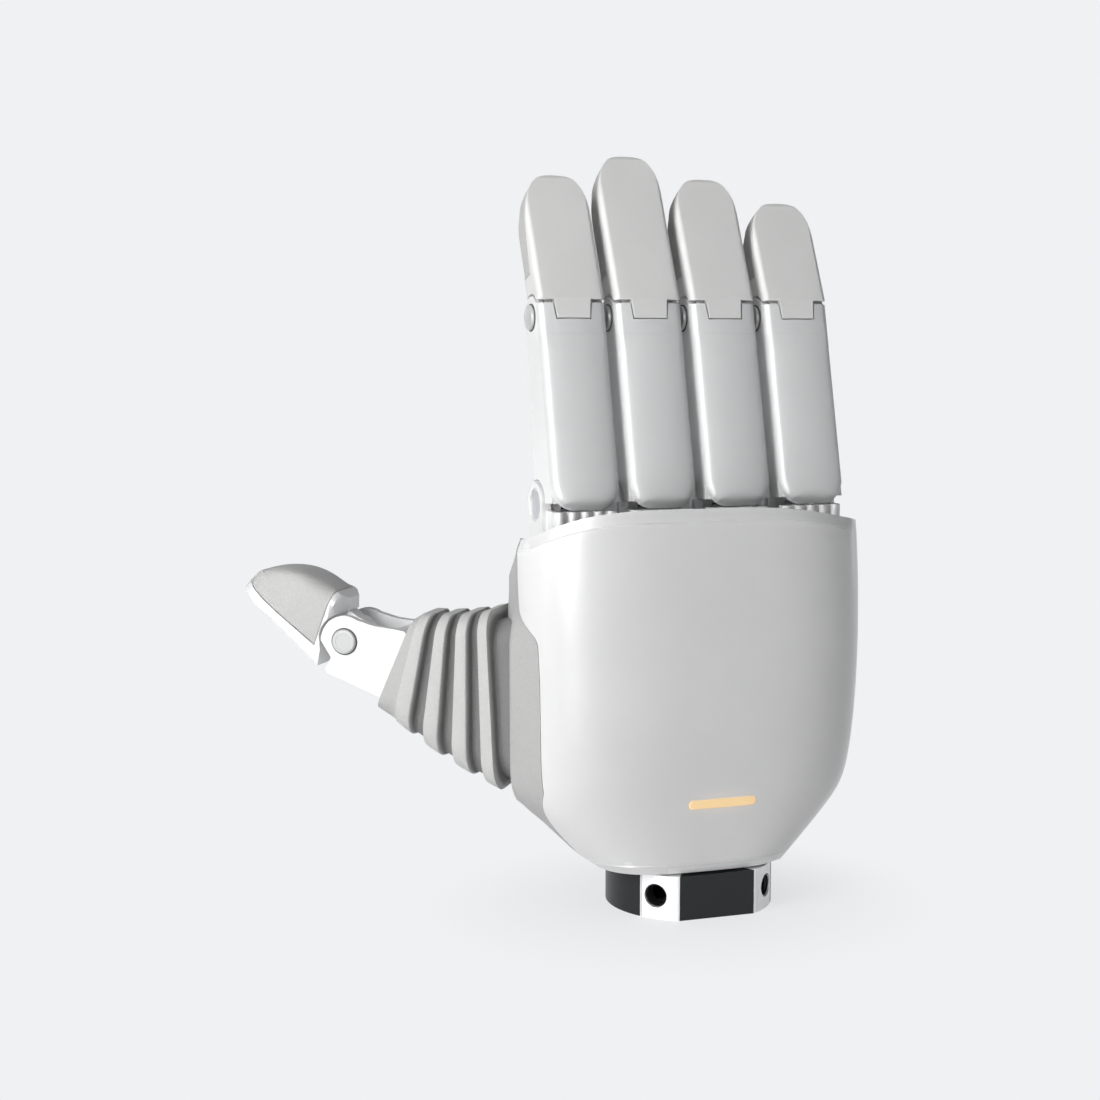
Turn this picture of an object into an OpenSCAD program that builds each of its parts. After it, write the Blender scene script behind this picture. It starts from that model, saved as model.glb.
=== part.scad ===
// Dexterous right hand: four fingers and a thumb on a palm with a round wrist spigot.
// Frame: origin at the centre of the spigot's lower face, +Z along the fingers,
// +X towards the little finger, -Y out of the back of the hand. Millimetres.

/* [Wrist] */
// Diameter of the wrist spigot
wrist_d = 42; // [40:0.5:44]
// Height of the wrist spigot's bare band
wrist_h = 11; // [9:0.5:13]
// Distance of the spigot's flat from its axis
wrist_flat = 18.5; // [17.5:0.1:19.5]
// Diameter of the four radial holes
wrist_hole_d = 5.9; // [4:0.1:5.9]
// Height of the radial holes above the lower face
wrist_hole_z = 5.8; // [5:0.1:7]
// Wall of the spigot
wrist_wall = 5; // [3.5:0.1:6]

/* [Palm] */
// Half width towards the thumb
palm_left = 46; // [44:0.5:50]
// Half width towards the little finger
palm_right = 43.5; // [42:0.5:48]
// Depth of the palm behind the wrist axis, at the back of the hand
palm_back = 21.5; // [20:0.5:25]
// Depth of the palm on the gripping side
palm_front = 19; // [17.5:0.5:23]
// Height of the shells' upper rim at its middle
palm_top = 100.7; // [99.5:0.1:101.5]
// Drop of the upper rim at the sides
rim_drop = 7; // [4:0.5:8]
// Drop of the gripping side's rim below the back's
front_drop = 8; // [7:0.5:10]
// Wall of the shells
shell_wall = 2; // [1.5:0.1:2.6]
// Flare of the palm's upper half on the thumb's side
palm_flare = 1.7; // [0:0.1:2.5]
// Where the shells part beside the thumb, behind the wrist axis
split_y = -11.5; // [-13:0.5:-9]
// How much further the back shell reaches round at the top
split_reach_top = 6; // [3:0.5:8]
// How much further the back shell reaches round at the wrist
split_reach_foot = 9; // [4:0.5:9]
// Gap between the two shells
split_gap = 0.35; // [0.2:0.05:0.5]

/* [Light bar] */
// Length of the light bar
light_w = 18; // [10:0.5:24]
// Height of the light bar
light_h = 2.6; // [1.6:0.1:4]
// Height of the light bar above the wrist
light_z = 29; // [27:0.5:40]

/* [Fingers] */
// Distance between neighbouring fingers
finger_pitch = 20; // [19.8:0.1:21]
// Width of a finger
finger_w = 17.3; // [16.5:0.1:17.6]
// Knuckle axis: distance in front of the wrist axis
mcp_y = 5; // [4:0.1:6]
// Knuckle axis: height
mcp_z = 100.8; // [100.5:0.1:103]
// Length of the phalanx, knuckle axis to finger joint
phalanx_len = 45.4; // [44:0.1:50]
// Offset of the finger joint towards the back of the hand
pip_rise = 6.5; // [6.2:0.1:6.8]
// Thickness of the phalanx behind the knuckle axis
phalanx_back = 13.7; // [13.3:0.1:14.2]
// Lean of the phalanx at rest, degrees
lean_mcp = 14; // [8:1:20]
// Further lean of the fingertip at rest, degrees
lean_pip = 11.5; // [5:0.5:16]
// Fingertip length of index finger
tip_index = 36; // [32:0.5:42]
// Fingertip length of middle finger
tip_middle = 42; // [34:0.5:46]
// Fingertip length of ring finger
tip_ring = 36; // [32:0.5:42]
// Fingertip length of little finger
tip_little = 29.6; // [27:0.5:36]

/* [Finger sections] */
// Wall of the phalanx's side plates
plate_t = 2; // [1.6:0.1:2.2]
// Wall of the back cover
cover_wall = 1.5; // [1.2:0.1:1.8]
// Depth of the back cover's sides
cover_skirt = 2.7; // [2.4:0.1:3]
// Corner radius of the back cover's lower end
cover_r = 5.5; // [3:0.5:7]
// Width of the fingertip's tongue
tongue_w = 10; // [8:0.5:11]
// Length of the fingertip's tongue below the joint line
tongue_len = 4.2; // [3:0.1:5]
// Thickness of the fingertip's back shell
tip_back_t = 3.8; // [3:0.1:4.4]
// Radius of the plate's nose round the finger joint
nose_r = 5.2; // [4.8:0.1:5.5]
// Diameter of the finger joint's pin
pip_pin_d = 2.5; // [2:0.1:2.6]
// Diameter of the pins' visible heads
pin_head_d = 6.9; // [5:0.1:8]
// Diameter of the knuckle axle
axle_d = 4; // [3:0.1:4.2]
// Diameter of the recess in the knuckle's ears
ear_recess_d = 8; // [7:0.1:9]
// Radius of the knuckle's ears
ear_r = 5.6; // [5.2:0.1:5.9]
// Outer half width across the knuckle's ears
ear_out = 9.3; // [9:0.1:9.5]
// Crank of the coupler at the knuckle
crank_in = 4.2; // [4.1:0.1:4.6]
// Angle by which that crank points below the palm's normal
crank_in_lag = 30; // [25:1:35]
// Crank of the coupler at the fingertip
crank_out = 3.8; // [3.6:0.1:4]
// Angle by which that crank points below the back's normal
crank_out_lag = 40; // [35:1:42]
// Thickness of the coupler
coupler_t = 2.4; // [1.6:0.1:2.6]

/* [Drive] */
// Diameter of the finger actuators
actuator_d = 10; // [8:0.5:10]
// Diameter of the drive rods
rod_d = 3; // [2.5:0.1:3.4]
// Sideways offset of the drive rods from the finger's middle
rod_x = 5; // [4.8:0.1:5.6]
// Distance of the drive rods behind the knuckle axis
rod_back = 7.8; // [7.6:0.1:8.4]
// Depth of the swing pivot below the knuckle axis
swing_drop = 13; // [12.5:0.5:14]
// Diameter of the swing pins
swing_pin_d = 4; // [3:0.1:4.5]

/* [Thumb] */
// Place of the thumb's root: left of the wrist axis
thumb_x = 44; // [43:0.5:46]
// Place of the thumb's root: in front of the wrist axis
thumb_y = 7; // [6:0.5:8]
// Turn of the thumb out of the palm's plane, degrees
thumb_splay = 35; // [32:1:38]
// Height of the swing axis' middle
thumb_z = 53; // [52:0.5:55]
// Swing axis: distance outside the root
swing_out = 2; // [1:0.5:3]
// Base joint: distance outside the root
base_out = 17.6; // [17:0.1:19]
// Base joint: height above the wrist
base_z = 56.6; // [55:0.1:58]
// Length from the base joint to the tip joint
thumb_len = 26; // [25:0.5:28]
// Rise of the thumb's link, degrees
link_rise = 22; // [18:1:26]
// Rise of the thumb's tip, degrees
tip_rise = 42; // [38:1:46]
// Half width of the thumb
thumb_half = 8.5; // [8:0.1:9]
// Thickness of the thumb link's cheeks
cheek_t = 2.4; // [2:0.1:3]
// Length of the thumb's tip from its joint
thumb_tip_len = 30.3; // [27:0.5:33]
// Diameter of the thumb's pins
thumb_pin_d = 4; // [3:0.1:4.4]

/* [Bellows] */
// Height of the bellows at its root
bellows_h0 = 48; // [46:0.5:48.5]
// Middle of the bellows' root above the wrist
bellows_z = 53.2; // [52:0.1:54]
// Half width of the bellows at its root
bellows_w0 = 12; // [11.5:0.5:12.5]
// Height of the bellows at its collar
bellows_h1 = 21.5; // [21:0.5:24]
// Half width of the bellows at its collar
bellows_w1 = 9.7; // [9.5:0.1:10]
// Depth of the bellows' folds
fold = 2.6; // [1.5:0.1:3]
// Corner radius of the bellows' section
bellows_r = 5.6; // [5:0.1:7]
// Height that the bellows would lose over its whole length at the folds' taper
bellows_taper = 22.9; // [21:0.1:23.5]
// Wall of the bellows
bellows_wall = 1; // [0.8:0.1:1.2]
// Number of folds
folds = 4; // [3:1:5]

/* [Fits] */
// Running clearance of a pin in its bore, on the radius
run = 0.06; // [0.03:0.01:0.09]
// Clearance between faces that slide past each other
play = 0.3; // [0.25:0.05:0.4]

/* [Hidden] */
FINGERS = ["index", "middle", "ring", "little"];
$fn = 48;
eps = 0.01;

WHITE = [0.93, 0.93, 0.94];
COOL = [0.80, 0.82, 0.82];
GREY = [0.72, 0.71, 0.70];
DARK = [0.16, 0.16, 0.17];
STEEL = [0.75, 0.76, 0.78];

finger_x = [for (i = [0:3]) (i - 1.5) * finger_pitch];
tip_len = [tip_index, tip_middle, tip_ring, tip_little];
plate_in = finger_w / 2 - plate_t;
skirt_y = -phalanx_back + cover_skirt;
swing_z = mcp_z - swing_drop;
tip_back = phalanx_back - pip_rise + 0.4;
rod_y = mcp_y - rod_back;
rod_at = [for (i = [0:3]) finger_x[i] + (i < 2 ? rod_x : -rod_x)];

// ---------- outlines and skins ----------

// Points along an arc, from angle a to angle b
function arc(c, r, a, b, n = 8) =
    [for (k = [0:n]) let (t = a + (b - a) * k / n) c + r * [cos(t), sin(t)]];

// A ramp that is 0 below 0 and u above, with a soft knee of size s
function ramp(u, s) = (u + sqrt(u * u + s * s)) / 2;

// Signed power, which draws a superellipse from cosines and sines
function spow(v, p) = sign(v) * pow(abs(v), p);

// A rounded rectangle round the origin, w by h with corner radius r, n steps a corner
function rounded(w, h, r, n = 6) = concat(
    arc([w / 2 - r, h / 2 - r], r, 0, 90, n), arc([-w / 2 + r, h / 2 - r], r, 90, 180, n),
    arc([-w / 2 + r, -h / 2 + r], r, 180, 270, n), arc([w / 2 - r, -h / 2 + r], r, 270, 360, n));

// A closed solid through open walls: each loop is n + 1 points of the outside, then as
// many of the inside, backwards. Its ends are capped by strips, which need not be flat
module wall_skin(loops) {
    p = len(loops[0]);
    n = p / 2 - 1;
    m = len(loops);
    polyhedron([for (l = loops) each l], concat(
        [for (k = [0:n - 1]) each [[k, k + 1, p - 1 - k], [k + 1, p - 2 - k, p - 1 - k]]],
        [for (j = [0:m - 2]) for (k = [0:p - 1]) let (q = (k + 1) % p)
            each [[j * p + k, (j + 1) * p + k, j * p + q], [j * p + q, (j + 1) * p + k, (j + 1) * p + q]]],
        [for (k = [0:n - 1]) let (o = (m - 1) * p)
            each [[o + k + 1, o + k, o + p - 1 - k], [o + p - 2 - k, o + k + 1, o + p - 1 - k]]]));
}

// A closed ring of loops whose last loop meets its first, such as a tube's outside and inside
module tube_skin(loops) {
    n = len(loops[0]);
    m = len(loops);
    polyhedron([for (l = loops) each l],
        [for (j = [0:m - 1]) for (k = [0:n - 1]) let (q = (k + 1) % n, i = (j + 1) % m)
            each [[j * n + k, i * n + k, j * n + q], [j * n + q, i * n + k, i * n + q]]]);
}

// A side view, drawn in Y and Z, as a slab of width w across X
module side(w) rotate([90, 0, 90]) linear_extrude(w, center = true) children();

// A front view, drawn in X and Z, as a slab of depth d across Y
module front(d) rotate([90, 0, 0]) linear_extrude(d, center = true) children();

// A bar along X round the origin
module xrod(r, w) rotate([0, 90, 0]) cylinder(r = r, h = w, center = true);

// Both sides of a finger or of the thumb
module both() {
    children();
    mirror([1, 0, 0]) children();
}

// ---------- frames ----------

module knuckle_frame(i) translate([finger_x[i], mcp_y, mcp_z]) children();
module phalanx_frame(i) knuckle_frame(i) rotate([-lean_mcp, 0, 0]) children();
module tip_frame(i)
    phalanx_frame(i) translate([0, -pip_rise, phalanx_len]) rotate([-lean_pip, 0, 0]) children();
// Thumb plane: X out along the thumb, Y towards the back of the hand, Z up
module thumb_plane() translate([-thumb_x, thumb_y, 0]) rotate([0, 0, 180 - thumb_splay]) children();
ip_out = base_out + thumb_len * cos(link_rise);
ip_z = base_z + thumb_len * sin(link_rise);
module link_frame() thumb_plane() translate([ip_out, 0, ip_z]) rotate([0, -link_rise, 0]) children();
module thumb_tip_frame() thumb_plane() translate([ip_out, 0, ip_z]) rotate([0, -tip_rise, 0]) children();

// ---------- palm shells ----------

shell_z0 = 11.5;
taper_z = 29;
rim_steps = [0, 0.03, 0.07, 0.12, 0.17, 0.22, 0.28, 0.4, 0.55, 0.7, 0.85, 0.96, 1];

// Half width and half depth of the palm at height z; rise is the sine of the angle round it.
// Beside the thumb only the back half flares towards the knuckles
function palm_w(side, z, rise) = side < 0
    ? palm_left - 1.05 * ramp(taper_z - z, 5)
        + palm_flare * min(1, max(0, -rise / 0.15)) * (ramp(z - 62, 8) - ramp(z - 82, 8)) / 20
    : palm_right - 0.88 * ramp(taper_z - z, 5) - 1.6 * pow((z - 68) / 32, 2);
function palm_d(side, z) = side < 0 ? palm_back - 0.1 * ramp(45 - z, 12)
    : palm_front + 0.04 * ramp(40 - z, 10);

// The palm's section is a superellipse: the powers square its corners, at the front more than at the back
side_power = 0.58;
back_power = 0.72;
function front_power(x, z) = 0.5 + (x < 0 ? 0.0131 * (ramp(z - 68, 2) - ramp(z - 79, 2)) : 0);

// Point of the palm's section at angle t and height z, moved in by d
function palm_xy(t, z, d) = [
    (palm_w(cos(t), z, sin(t)) - d) * spow(cos(t), side_power),
    (palm_d(sin(t), z) - d) * spow(sin(t), sin(t) < 0 ? back_power : front_power(cos(t), z))];
// Distance of the gripping side's surface from the wrist axis at x and z, moved in by d
function front_y(x, z, d) = (palm_d(1, z) - d)
    * pow(sin(acos(pow(abs(x) / (palm_w(x, z, 1) - d), 1 / side_power))), front_power(x, z));

function rim_z(x, y) = palm_top - rim_drop * pow(x / palm_left, 2)
    - front_drop * max(0, min(1, (y + 2) / 10));
function palm_point(t, f, d) =
    let (q = palm_xy(t, 70, d), top = rim_z(q[0], q[1]), z = shell_z0 + f * (top - shell_z0),
        bevel = d > 0 ? 0 : (f > 0.99 ? 1.1 : (f < 0.01 ? 0.8 : 0)), p = palm_xy(t, z, d + bevel))
    [p[0], p[1], z];

// Angle from the side at which the shells part at height share f: the back shell
// reaches further round at the top and at the bottom than beside the thumb's boss
function split_y_at(f) = split_y + split_reach_top * (1 - pow(cos(90 * min(1, max(0, (f - 0.68) / 0.12))), 2))
    + split_reach_foot * (1 - min(1, max(0, (f - 0.05) / 0.2)));
function split_at(f) = asin(pow(-split_y_at(f) / palm_back, 1 / back_power));
split_turn = split_gap / palm_left * 57.3;

// A wall of the palm: the back's share or the front's, n steps round
module palm_wall(back, n) {
    function turn(f, k) = back
        ? 180 + split_at(f) + split_turn + (180 - 2 * split_at(f) - 2 * split_turn) * k / n
        : -split_at(f) + split_turn + (180 + 2 * split_at(f) - 2 * split_turn) * k / n;
    wall_skin([for (f = rim_steps) concat(
        [for (k = [0:n]) palm_point(turn(f, k), f, 0)],
        [for (k = [n:-1:0]) palm_point(turn(f, k), f, shell_wall)])]);
}

module back_shell() color(WHITE) difference() {
    palm_wall(true, 26);
    translate([0, -palm_back, light_z]) light_slot(light_w, light_h, 12);
}

module light_slot(w, h, d) rotate([90, 0, 0]) linear_extrude(d, center = true)
    polygon(rounded(w, h, h / 2 - eps, 8));

module light_bar() color([1, 0.72, 0.3])
    translate([0, -palm_d(-1, light_z) + 1.45, light_z]) light_slot(light_w - 0.3, light_h - 0.3, 2.4);

module palm_shell() color(GREY) difference() {
    union() {
        palm_wall(false, 30);
        thumb_plane() boss(0);
    }
    thumb_plane() boss(shell_wall);
    // relief round the inner frame
    translate([-frame_half - play, -20, deck_z - play]) cube([2 * frame_half + 2 * play, plate_y1 + bar_t + 20 + play, 40]);
    at_screws() {
        translate([0, 0, -2]) cylinder(d = screw_head_d + 0.3, h = 2 + screw_head_h);
        cylinder(d = screw_d + 0.3, h = 10);
    }
}

// The thumb's boss: a rounded tunnel that leaves the palm along the thumb
boss_z = 52.5;
boss_h = bellows_h0 + 2;
boss_in = 10;
boss_out = -0.8;
module boss(d) translate([-boss_in - d, 0, boss_z]) rotate([0, 90, 0])
    linear_extrude(boss_in + boss_out + 3 * d) polygon(rounded(
        boss_h - 2 * d, 2 * bellows_w0 + 3 - 2 * d, bellows_w0 - 1.5 - d, 5));

// ---------- wrist ----------

flange_top = 24;
neck_r = wrist_flat - 3.2;
floor_z = 2.4;
module wrist_flange() color(DARK) difference() {
    union() {
        rotate([0, 0, -90]) cylinder(d = wrist_d, h = wrist_h, $fn = 96);
        cylinder(r = neck_r, h = flange_top, $fn = 96);
    }
    translate([-wrist_d, -wrist_flat - wrist_d, -eps]) cube([2 * wrist_d, wrist_d, wrist_h + 2 * eps]);
    translate([0, 0, floor_z]) cylinder(d = wrist_d - 2 * wrist_wall, h = wrist_h - 1.6 - floor_z, $fn = 96);
    translate([0, 0, floor_z + 1]) cylinder(r = neck_r - 2.6, h = flange_top, $fn = 96);
    // recess of the contact plate, and the hole for its leads
    translate([0, 0, -eps]) cylinder(d = contact_d + 0.2, h = floor_z - 0.7 + eps);
    translate([0, 0, -eps]) cylinder(r = 6, h = floor_z + 1);
    for (a = [45:90:315]) rotate([0, 0, a]) translate([0, 0, wrist_hole_z]) rotate([0, 90, 0])
        cylinder(d = wrist_hole_d, h = wrist_d);
}

contact_d = 20;
module contact_plate() color([0.1, 0.28, 0.2]) {
    translate([0, 0, 0.5]) cylinder(d = contact_d, h = floor_z - 1.2);
    for (k = [0:7]) rotate([0, 0, 45 * k]) translate([contact_d * 0.32, 0, 0.1]) cylinder(d = 2.4, h = 0.4);
    cylinder(d = 3, h = 0.5);
}

// ---------- inside the palm ----------

plate_y0 = -7.2;
plate_y1 = mcp_y + ear_r + play;
bar_t = 2.5;
frame_half = 34;
deck_z = 72;
deck_t = 3;
upright_x = 32;
swing_spacer_r = 2.7;

module palm_frame() color(DARK) difference() {
    union() {
        // lower deck, seated on the wrist spigot
        translate([-26, -13.5, flange_top]) cube([52, 27, deck_t]);
        translate([-31.5, plate_y0, flange_top]) cube([63, 11, deck_t]);
        for (s = [-1, 1]) {
            translate([s * upright_x - 1.5, plate_y0, 33]) cube([3, 15, deck_z - 33 + 1]);
            hull() {
                translate([s * upright_x - 1.5, plate_y0, 33]) cube([3, 11, 3]);
                translate([s * 30 - 1.5, plate_y0, flange_top]) cube([3, 11, 3]);
            }
        }
        // deck that carries the actuators
        translate([-frame_half, plate_y0, deck_z]) cube([2 * frame_half, plate_y1 - plate_y0 + bar_t, deck_t]);
        // plates behind and in front of the knuckles, which hold the swing pins
        for (y = [plate_y0, plate_y1]) translate([-frame_half, y, deck_z])
            cube([2 * frame_half, bar_t, swing_z + 4.5 - deck_z]);
        for (x = finger_x) translate([x, plate_y0 + eps, swing_z]) rotate([-90, 0, 0])
            cylinder(r = swing_spacer_r, h = mcp_y - ear_r - play - plate_y0);
        // arms that carry the thumb's swing pin
        thumb_plane() for (z = [thumb_z - 15, thumb_z + 11.5]) translate([0, 0, z]) hull() {
            translate([swing_out, 0, 0]) cylinder(r = 4.6, h = 3.5, $fn = 32);
            translate([-12, 2, 0]) cylinder(r = 5, h = 3.5, $fn = 32);
        }
        // posts for the shell's screws
        at_screws() translate([0, 0, shell_wall + 1.1]) cylinder(r = 2.8, h = 8);
    }
    // windows that lighten the plates
    for (x = [-20, 0, 20]) translate([x, 0, deck_z + 10.5]) cube([8, 60, 9], center = true);
    for (x = rod_at) translate([x, rod_y, deck_z - 1]) cylinder(r = rod_d / 2 + run, h = 6);
    for (x = finger_x) translate([x, 0, swing_z]) rotate([90, 0, 0]) cylinder(d = swing_pin_d, h = 60, center = true);
    thumb_plane() translate([swing_out, 0, thumb_z - 20]) cylinder(d = thumb_pin_d, h = 40);
    at_screws() cylinder(d = screw_d, h = 10);
}

module swing_pins() color(STEEL) for (x = finger_x)
    translate([x, plate_y0, swing_z]) rotate([-90, 0, 0]) cylinder(d = swing_pin_d, h = plate_y1 - plate_y0 + bar_t);

actuator_z = 34;
module finger_actuators() color(STEEL) for (x = rod_at) translate([x, rod_y, actuator_z])
    difference() {
        union() {
            cylinder(d = actuator_d, h = deck_z - actuator_z);
            translate([0, 0, -3]) cylinder(d = actuator_d - 4, h = 3);
        }
        translate([0, 0, 6]) cylinder(r = rod_d / 2 + run, h = deck_z - actuator_z);
    }

rod_eye_z = mcp_z - 11;
module drive_rod(i) color(STEEL) translate([rod_at[i], rod_y, 0]) difference() {
    union() {
        translate([0, 0, actuator_z + 12]) cylinder(d = rod_d, h = rod_eye_z - actuator_z - 12);
        translate([0, 0, rod_eye_z]) rotate([0, 90, 0]) cylinder(r = 1.75, h = 2.2, center = true);
    }
    translate([0, 0, rod_eye_z]) rotate([0, 90, 0]) cylinder(r = 0.9, h = 9, center = true);
}

module thumb_actuator() color(STEEL) translate([-14.5, 8.5, flange_top + deck_t]) {
    cylinder(d = 8, h = 32);
    translate([0, 0, 32]) cylinder(d = 4, h = 4);
}

module control_board() color([0.08, 0.3, 0.16]) translate([-17, -12.9, flange_top + deck_t]) {
    translate([0, 0, 0.5]) cube([34, 1.6, 42]);
    translate([8, -1.6, 14]) cube([8, 1.6, 8]);
    translate([20, -1.2, 26]) cube([6, 1.2, 6]);
    for (x = [3, 27]) translate([x, 1.6, 0]) cube([4, 5, 4]);
}

screw_d = 2;
screw_head_d = 3.8;
screw_head_h = 1.3;
screw_x = 24;
// Screws of the palm shell, seen from their heads: +Z goes in
module at_screws() for (x = [-screw_x, screw_x], z = [flange_top + deck_t / 2, deck_z + deck_t / 2])
    translate([x, front_y(x, z, 0), z]) rotate([90, 0, 0]) children();
module shell_screws() color(STEEL) at_screws() {
    translate([0, 0, 0.1]) cylinder(d = screw_head_d, h = screw_head_h - 0.1);
    translate([0, 0, screw_head_h - eps]) cylinder(d = screw_d, h = 7);
}

// ---------- fingers ----------

ear_in = plate_in + play;
lug_r = 4.9;
pin_in = coupler_t / 2 + 0.6;
foot_half = 8.6;
shroud_half = 8.2;
shroud_y = 11;
shroud_z = -6;
shroud_h = 5.1;
fork_y = crank_in * cos(crank_in_lag);
fork_z = -crank_in * sin(crank_in_lag);
module ear_profile() union() {
    circle(r = ear_r);
    translate([-ear_r, -swing_drop + 4]) square([2 * ear_r, swing_drop - 4]);
}

module knuckle(i) color(WHITE) knuckle_frame(i) difference() {
    union() {
        both() intersection() {
            translate([(ear_in + ear_out) / 2, 0, 0]) side(ear_out - ear_in) ear_profile();
            // the ears narrow to the foot
            front(40) polygon([[0, 20], [20, 20], [20, -4.5], [ear_out, -4.5], [foot_half, -6.5], [foot_half, -20], [0, -20]]);
        }
        // foot, rounded underneath so that it swings between its bars
        intersection() {
            translate([-foot_half, -ear_r, -swing_drop - 4.5]) cube([2 * foot_half, 2 * ear_r, 9]);
            union() {
                translate([-foot_half, -ear_r, -swing_drop + 0.4]) cube([2 * foot_half, 2 * ear_r, 9]);
                translate([0, 0, -swing_drop]) rotate([90, 0, 0]) cylinder(r = 4.5, h = 40, center = true);
            }
        }
        // fork that holds the coupler's pin
        both() translate([coupler_t / 2 + play + 0.7, 0, 0]) side(1.4) union() {
            translate([fork_y, fork_z]) circle(r = 1.7);
            translate([fork_y - 1.7, -swing_drop + 4]) square([3.4, swing_drop - 4 + fork_z]);
        }
        translate([0, fork_y, fork_z]) xrod(1, coupler_t + 2);
        // ribbed shroud that closes the knuckle's back below the cover
        translate([-shroud_half, -shroud_y, shroud_z]) cube([2 * shroud_half, 1.3, shroud_h]);
        translate([i < 2 ? -shroud_half : shroud_half - 1.3, -shroud_y, shroud_z]) cube([1.3, shroud_y - ear_r + 1, shroud_h]);
        for (k = [-2:2]) translate([k * 3.3, -shroud_y, shroud_z]) cylinder(r = 1.35, h = shroud_h, $fn = 24);
    }
    xrod(axle_d / 2, 40);
    both() translate([ear_out - 0.9 + 5, 0, 0]) xrod(ear_recess_d / 2, 10);
    translate([0, 0, -swing_drop]) rotate([90, 0, 0]) cylinder(r = swing_pin_d / 2 + run, h = 40, center = true);
}

module axle(i) color(STEEL) knuckle_frame(i) {
    xrod(axle_d / 2, 2 * (ear_out - 0.9));
    both() translate([ear_out - 0.6, 0, 0]) xrod(ear_recess_d / 2 - 0.5, 0.6);
}

// Gripping-side edge of the side plates at height z
function palm_edge(z) = 0.9 - 3.3 * (z - 5.6) / (phalanx_len - 7);

function plate_outline() = concat(
    [for (q = arc([-pip_rise, phalanx_len], nose_r, 200, 20, 14)) [max(q[0], skirt_y), q[1]]],
    [[palm_edge(phalanx_len - 6), phalanx_len - 6], [palm_edge(8), 8]],
    arc([0, 0], ear_r + play + 0.35, 78, 186, 12),
    [[skirt_y, -1.5]]);

module phalanx(i) color(WHITE) phalanx_frame(i) difference() {
    union() {
        both() translate([plate_in + plate_t / 2, 0, 0]) side(plate_t) polygon(plate_outline());
        // lugs on the axle
        both() translate([plate_in - 1.2, 0, 0]) side(2.4) union() {
            circle(r = lug_r);
            polygon([[-lug_r, 0], [lug_r - 4.3, 0], [0.4, 16], [skirt_y + 1.4, 16], [skirt_y + 1.4, 6]]);
        }
        // back web between the plates
        translate([-plate_in - eps, skirt_y, 0]) cube([2 * plate_in + 2 * eps, 1.4, 33]);
    }
    xrod(axle_d / 2 + run, 40);
    translate([0, -pip_rise, phalanx_len]) xrod(pip_pin_d / 2, 40);
}

// Front view of the cover, with the tongue's notch
notch_z = phalanx_len + 2.2;
module cover_front() difference() {
    polygon(concat(
        arc([finger_w / 2 - cover_r, -2.8 + cover_r], cover_r, 270, 360, 8),
        [[finger_w / 2, notch_z]], [[-finger_w / 2, notch_z]],
        arc([-finger_w / 2 + cover_r, -2.8 + cover_r], cover_r, 180, 270, 8)));
    polygon([[-tongue_w / 2 - 0.1, notch_z + 1], [tongue_w / 2 + 0.1, notch_z + 1],
        [tongue_w / 2 - 0.5, notch_z - tongue_len], [-tongue_w / 2 + 0.5, notch_z - tongue_len]]);
}

// Section of a finger's back: crowned, with round edges of radius r
function back_section(w, back, r, skirt) = concat(
    [[-w / 2, -back + skirt]], arc([-w / 2 + r, -back + r + 0.5], r, 180, 255, 5),
    [for (t = [-0.6:0.3:0.6]) [t * (w / 2 - r), -back + 0.5 * t * t]],
    arc([w / 2 - r, -back + r + 0.5], r, 285, 360, 5), [[w / 2, -back + skirt]]);

module finger_cover(i) color(COOL) phalanx_frame(i) difference() {
    intersection() {
        translate([0, 0, -3]) linear_extrude(phalanx_len + 8)
            polygon(back_section(finger_w, phalanx_back, 2, cover_skirt));
        front(60) cover_front();
        side(40) polygon(concat(arc([-phalanx_back + 3, 0.2], 3, 180, 270, 6),
            [[skirt_y + 3, -2.8], [skirt_y + 3, notch_z], [-phalanx_back, notch_z]]));
    }
    translate([-plate_in, -phalanx_back + cover_wall, 0.5])
        cube([2 * plate_in, 5, phalanx_len + 5]);
}

// Ends of the phalanx's grip pad: above the knuckle axis, and short of the finger joint
pad_low = 23;
pad_high = phalanx_len - 6.4;
module phalanx_pad(i) color(GREY) phalanx_frame(i) {
    w = 2 * plate_in - 0.6;
    ends = [for (z = [pad_low, pad_high]) palm_edge(z)];
    difference() {
        side(w) polygon([[ends[0] - 1.2, pad_low], [ends[0] + 0.2, pad_low],
            [palm_edge(pad_low + 2) + 0.5, pad_low + 2], [palm_edge(pad_high - 2) + 0.5, pad_high - 2],
            [ends[1] + 0.2, pad_high], [ends[1] - 1.2, pad_high]]);
        // channel that the coupler dips into
        side(coupler_t + 0.8) polygon([for (q = [[-3, -1], [-0.2, -1], [-0.2, 1], [-3, 1]])
            let(z = q[1] < 0 ? pad_low - 1 : pad_high + 1) [palm_edge(z) + q[0], z]]);
    }
    both() translate([plate_in - 0.65 - 0.3, 0, 0]) side(1.3 + 0.6)
        polygon([for (q = [[-3, 0], [-1, 0], [-1, 1], [-3, 1]])
            let(z = q[1] < 1 ? pad_low + 3 : pad_high - 3) [palm_edge(z) + q[0], z]]);
}

module coupler(i) color(STEEL) phalanx_frame(i) {
    a = [0, crank_in * cos(crank_in_lag - lean_mcp), -crank_in * sin(crank_in_lag - lean_mcp)];
    b = [0, -pip_rise - crank_out * cos(crank_out_lag), phalanx_len - crank_out * sin(crank_out_lag)];
    difference() {
        side(coupler_t) union() {
            translate([a[1], a[2]]) circle(r = 1.65);
            translate([b[1], b[2]]) circle(r = 1.3);
            polygon([[a[1] - 1.1, a[2]], [a[1] + 1.1, a[2]], [b[1] + 1, b[2]], [b[1] - 1, b[2]]]);
        }
        translate(a) xrod(1 + run, 10);
        translate(b) xrod(0.6, 10);
    }
}

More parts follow.
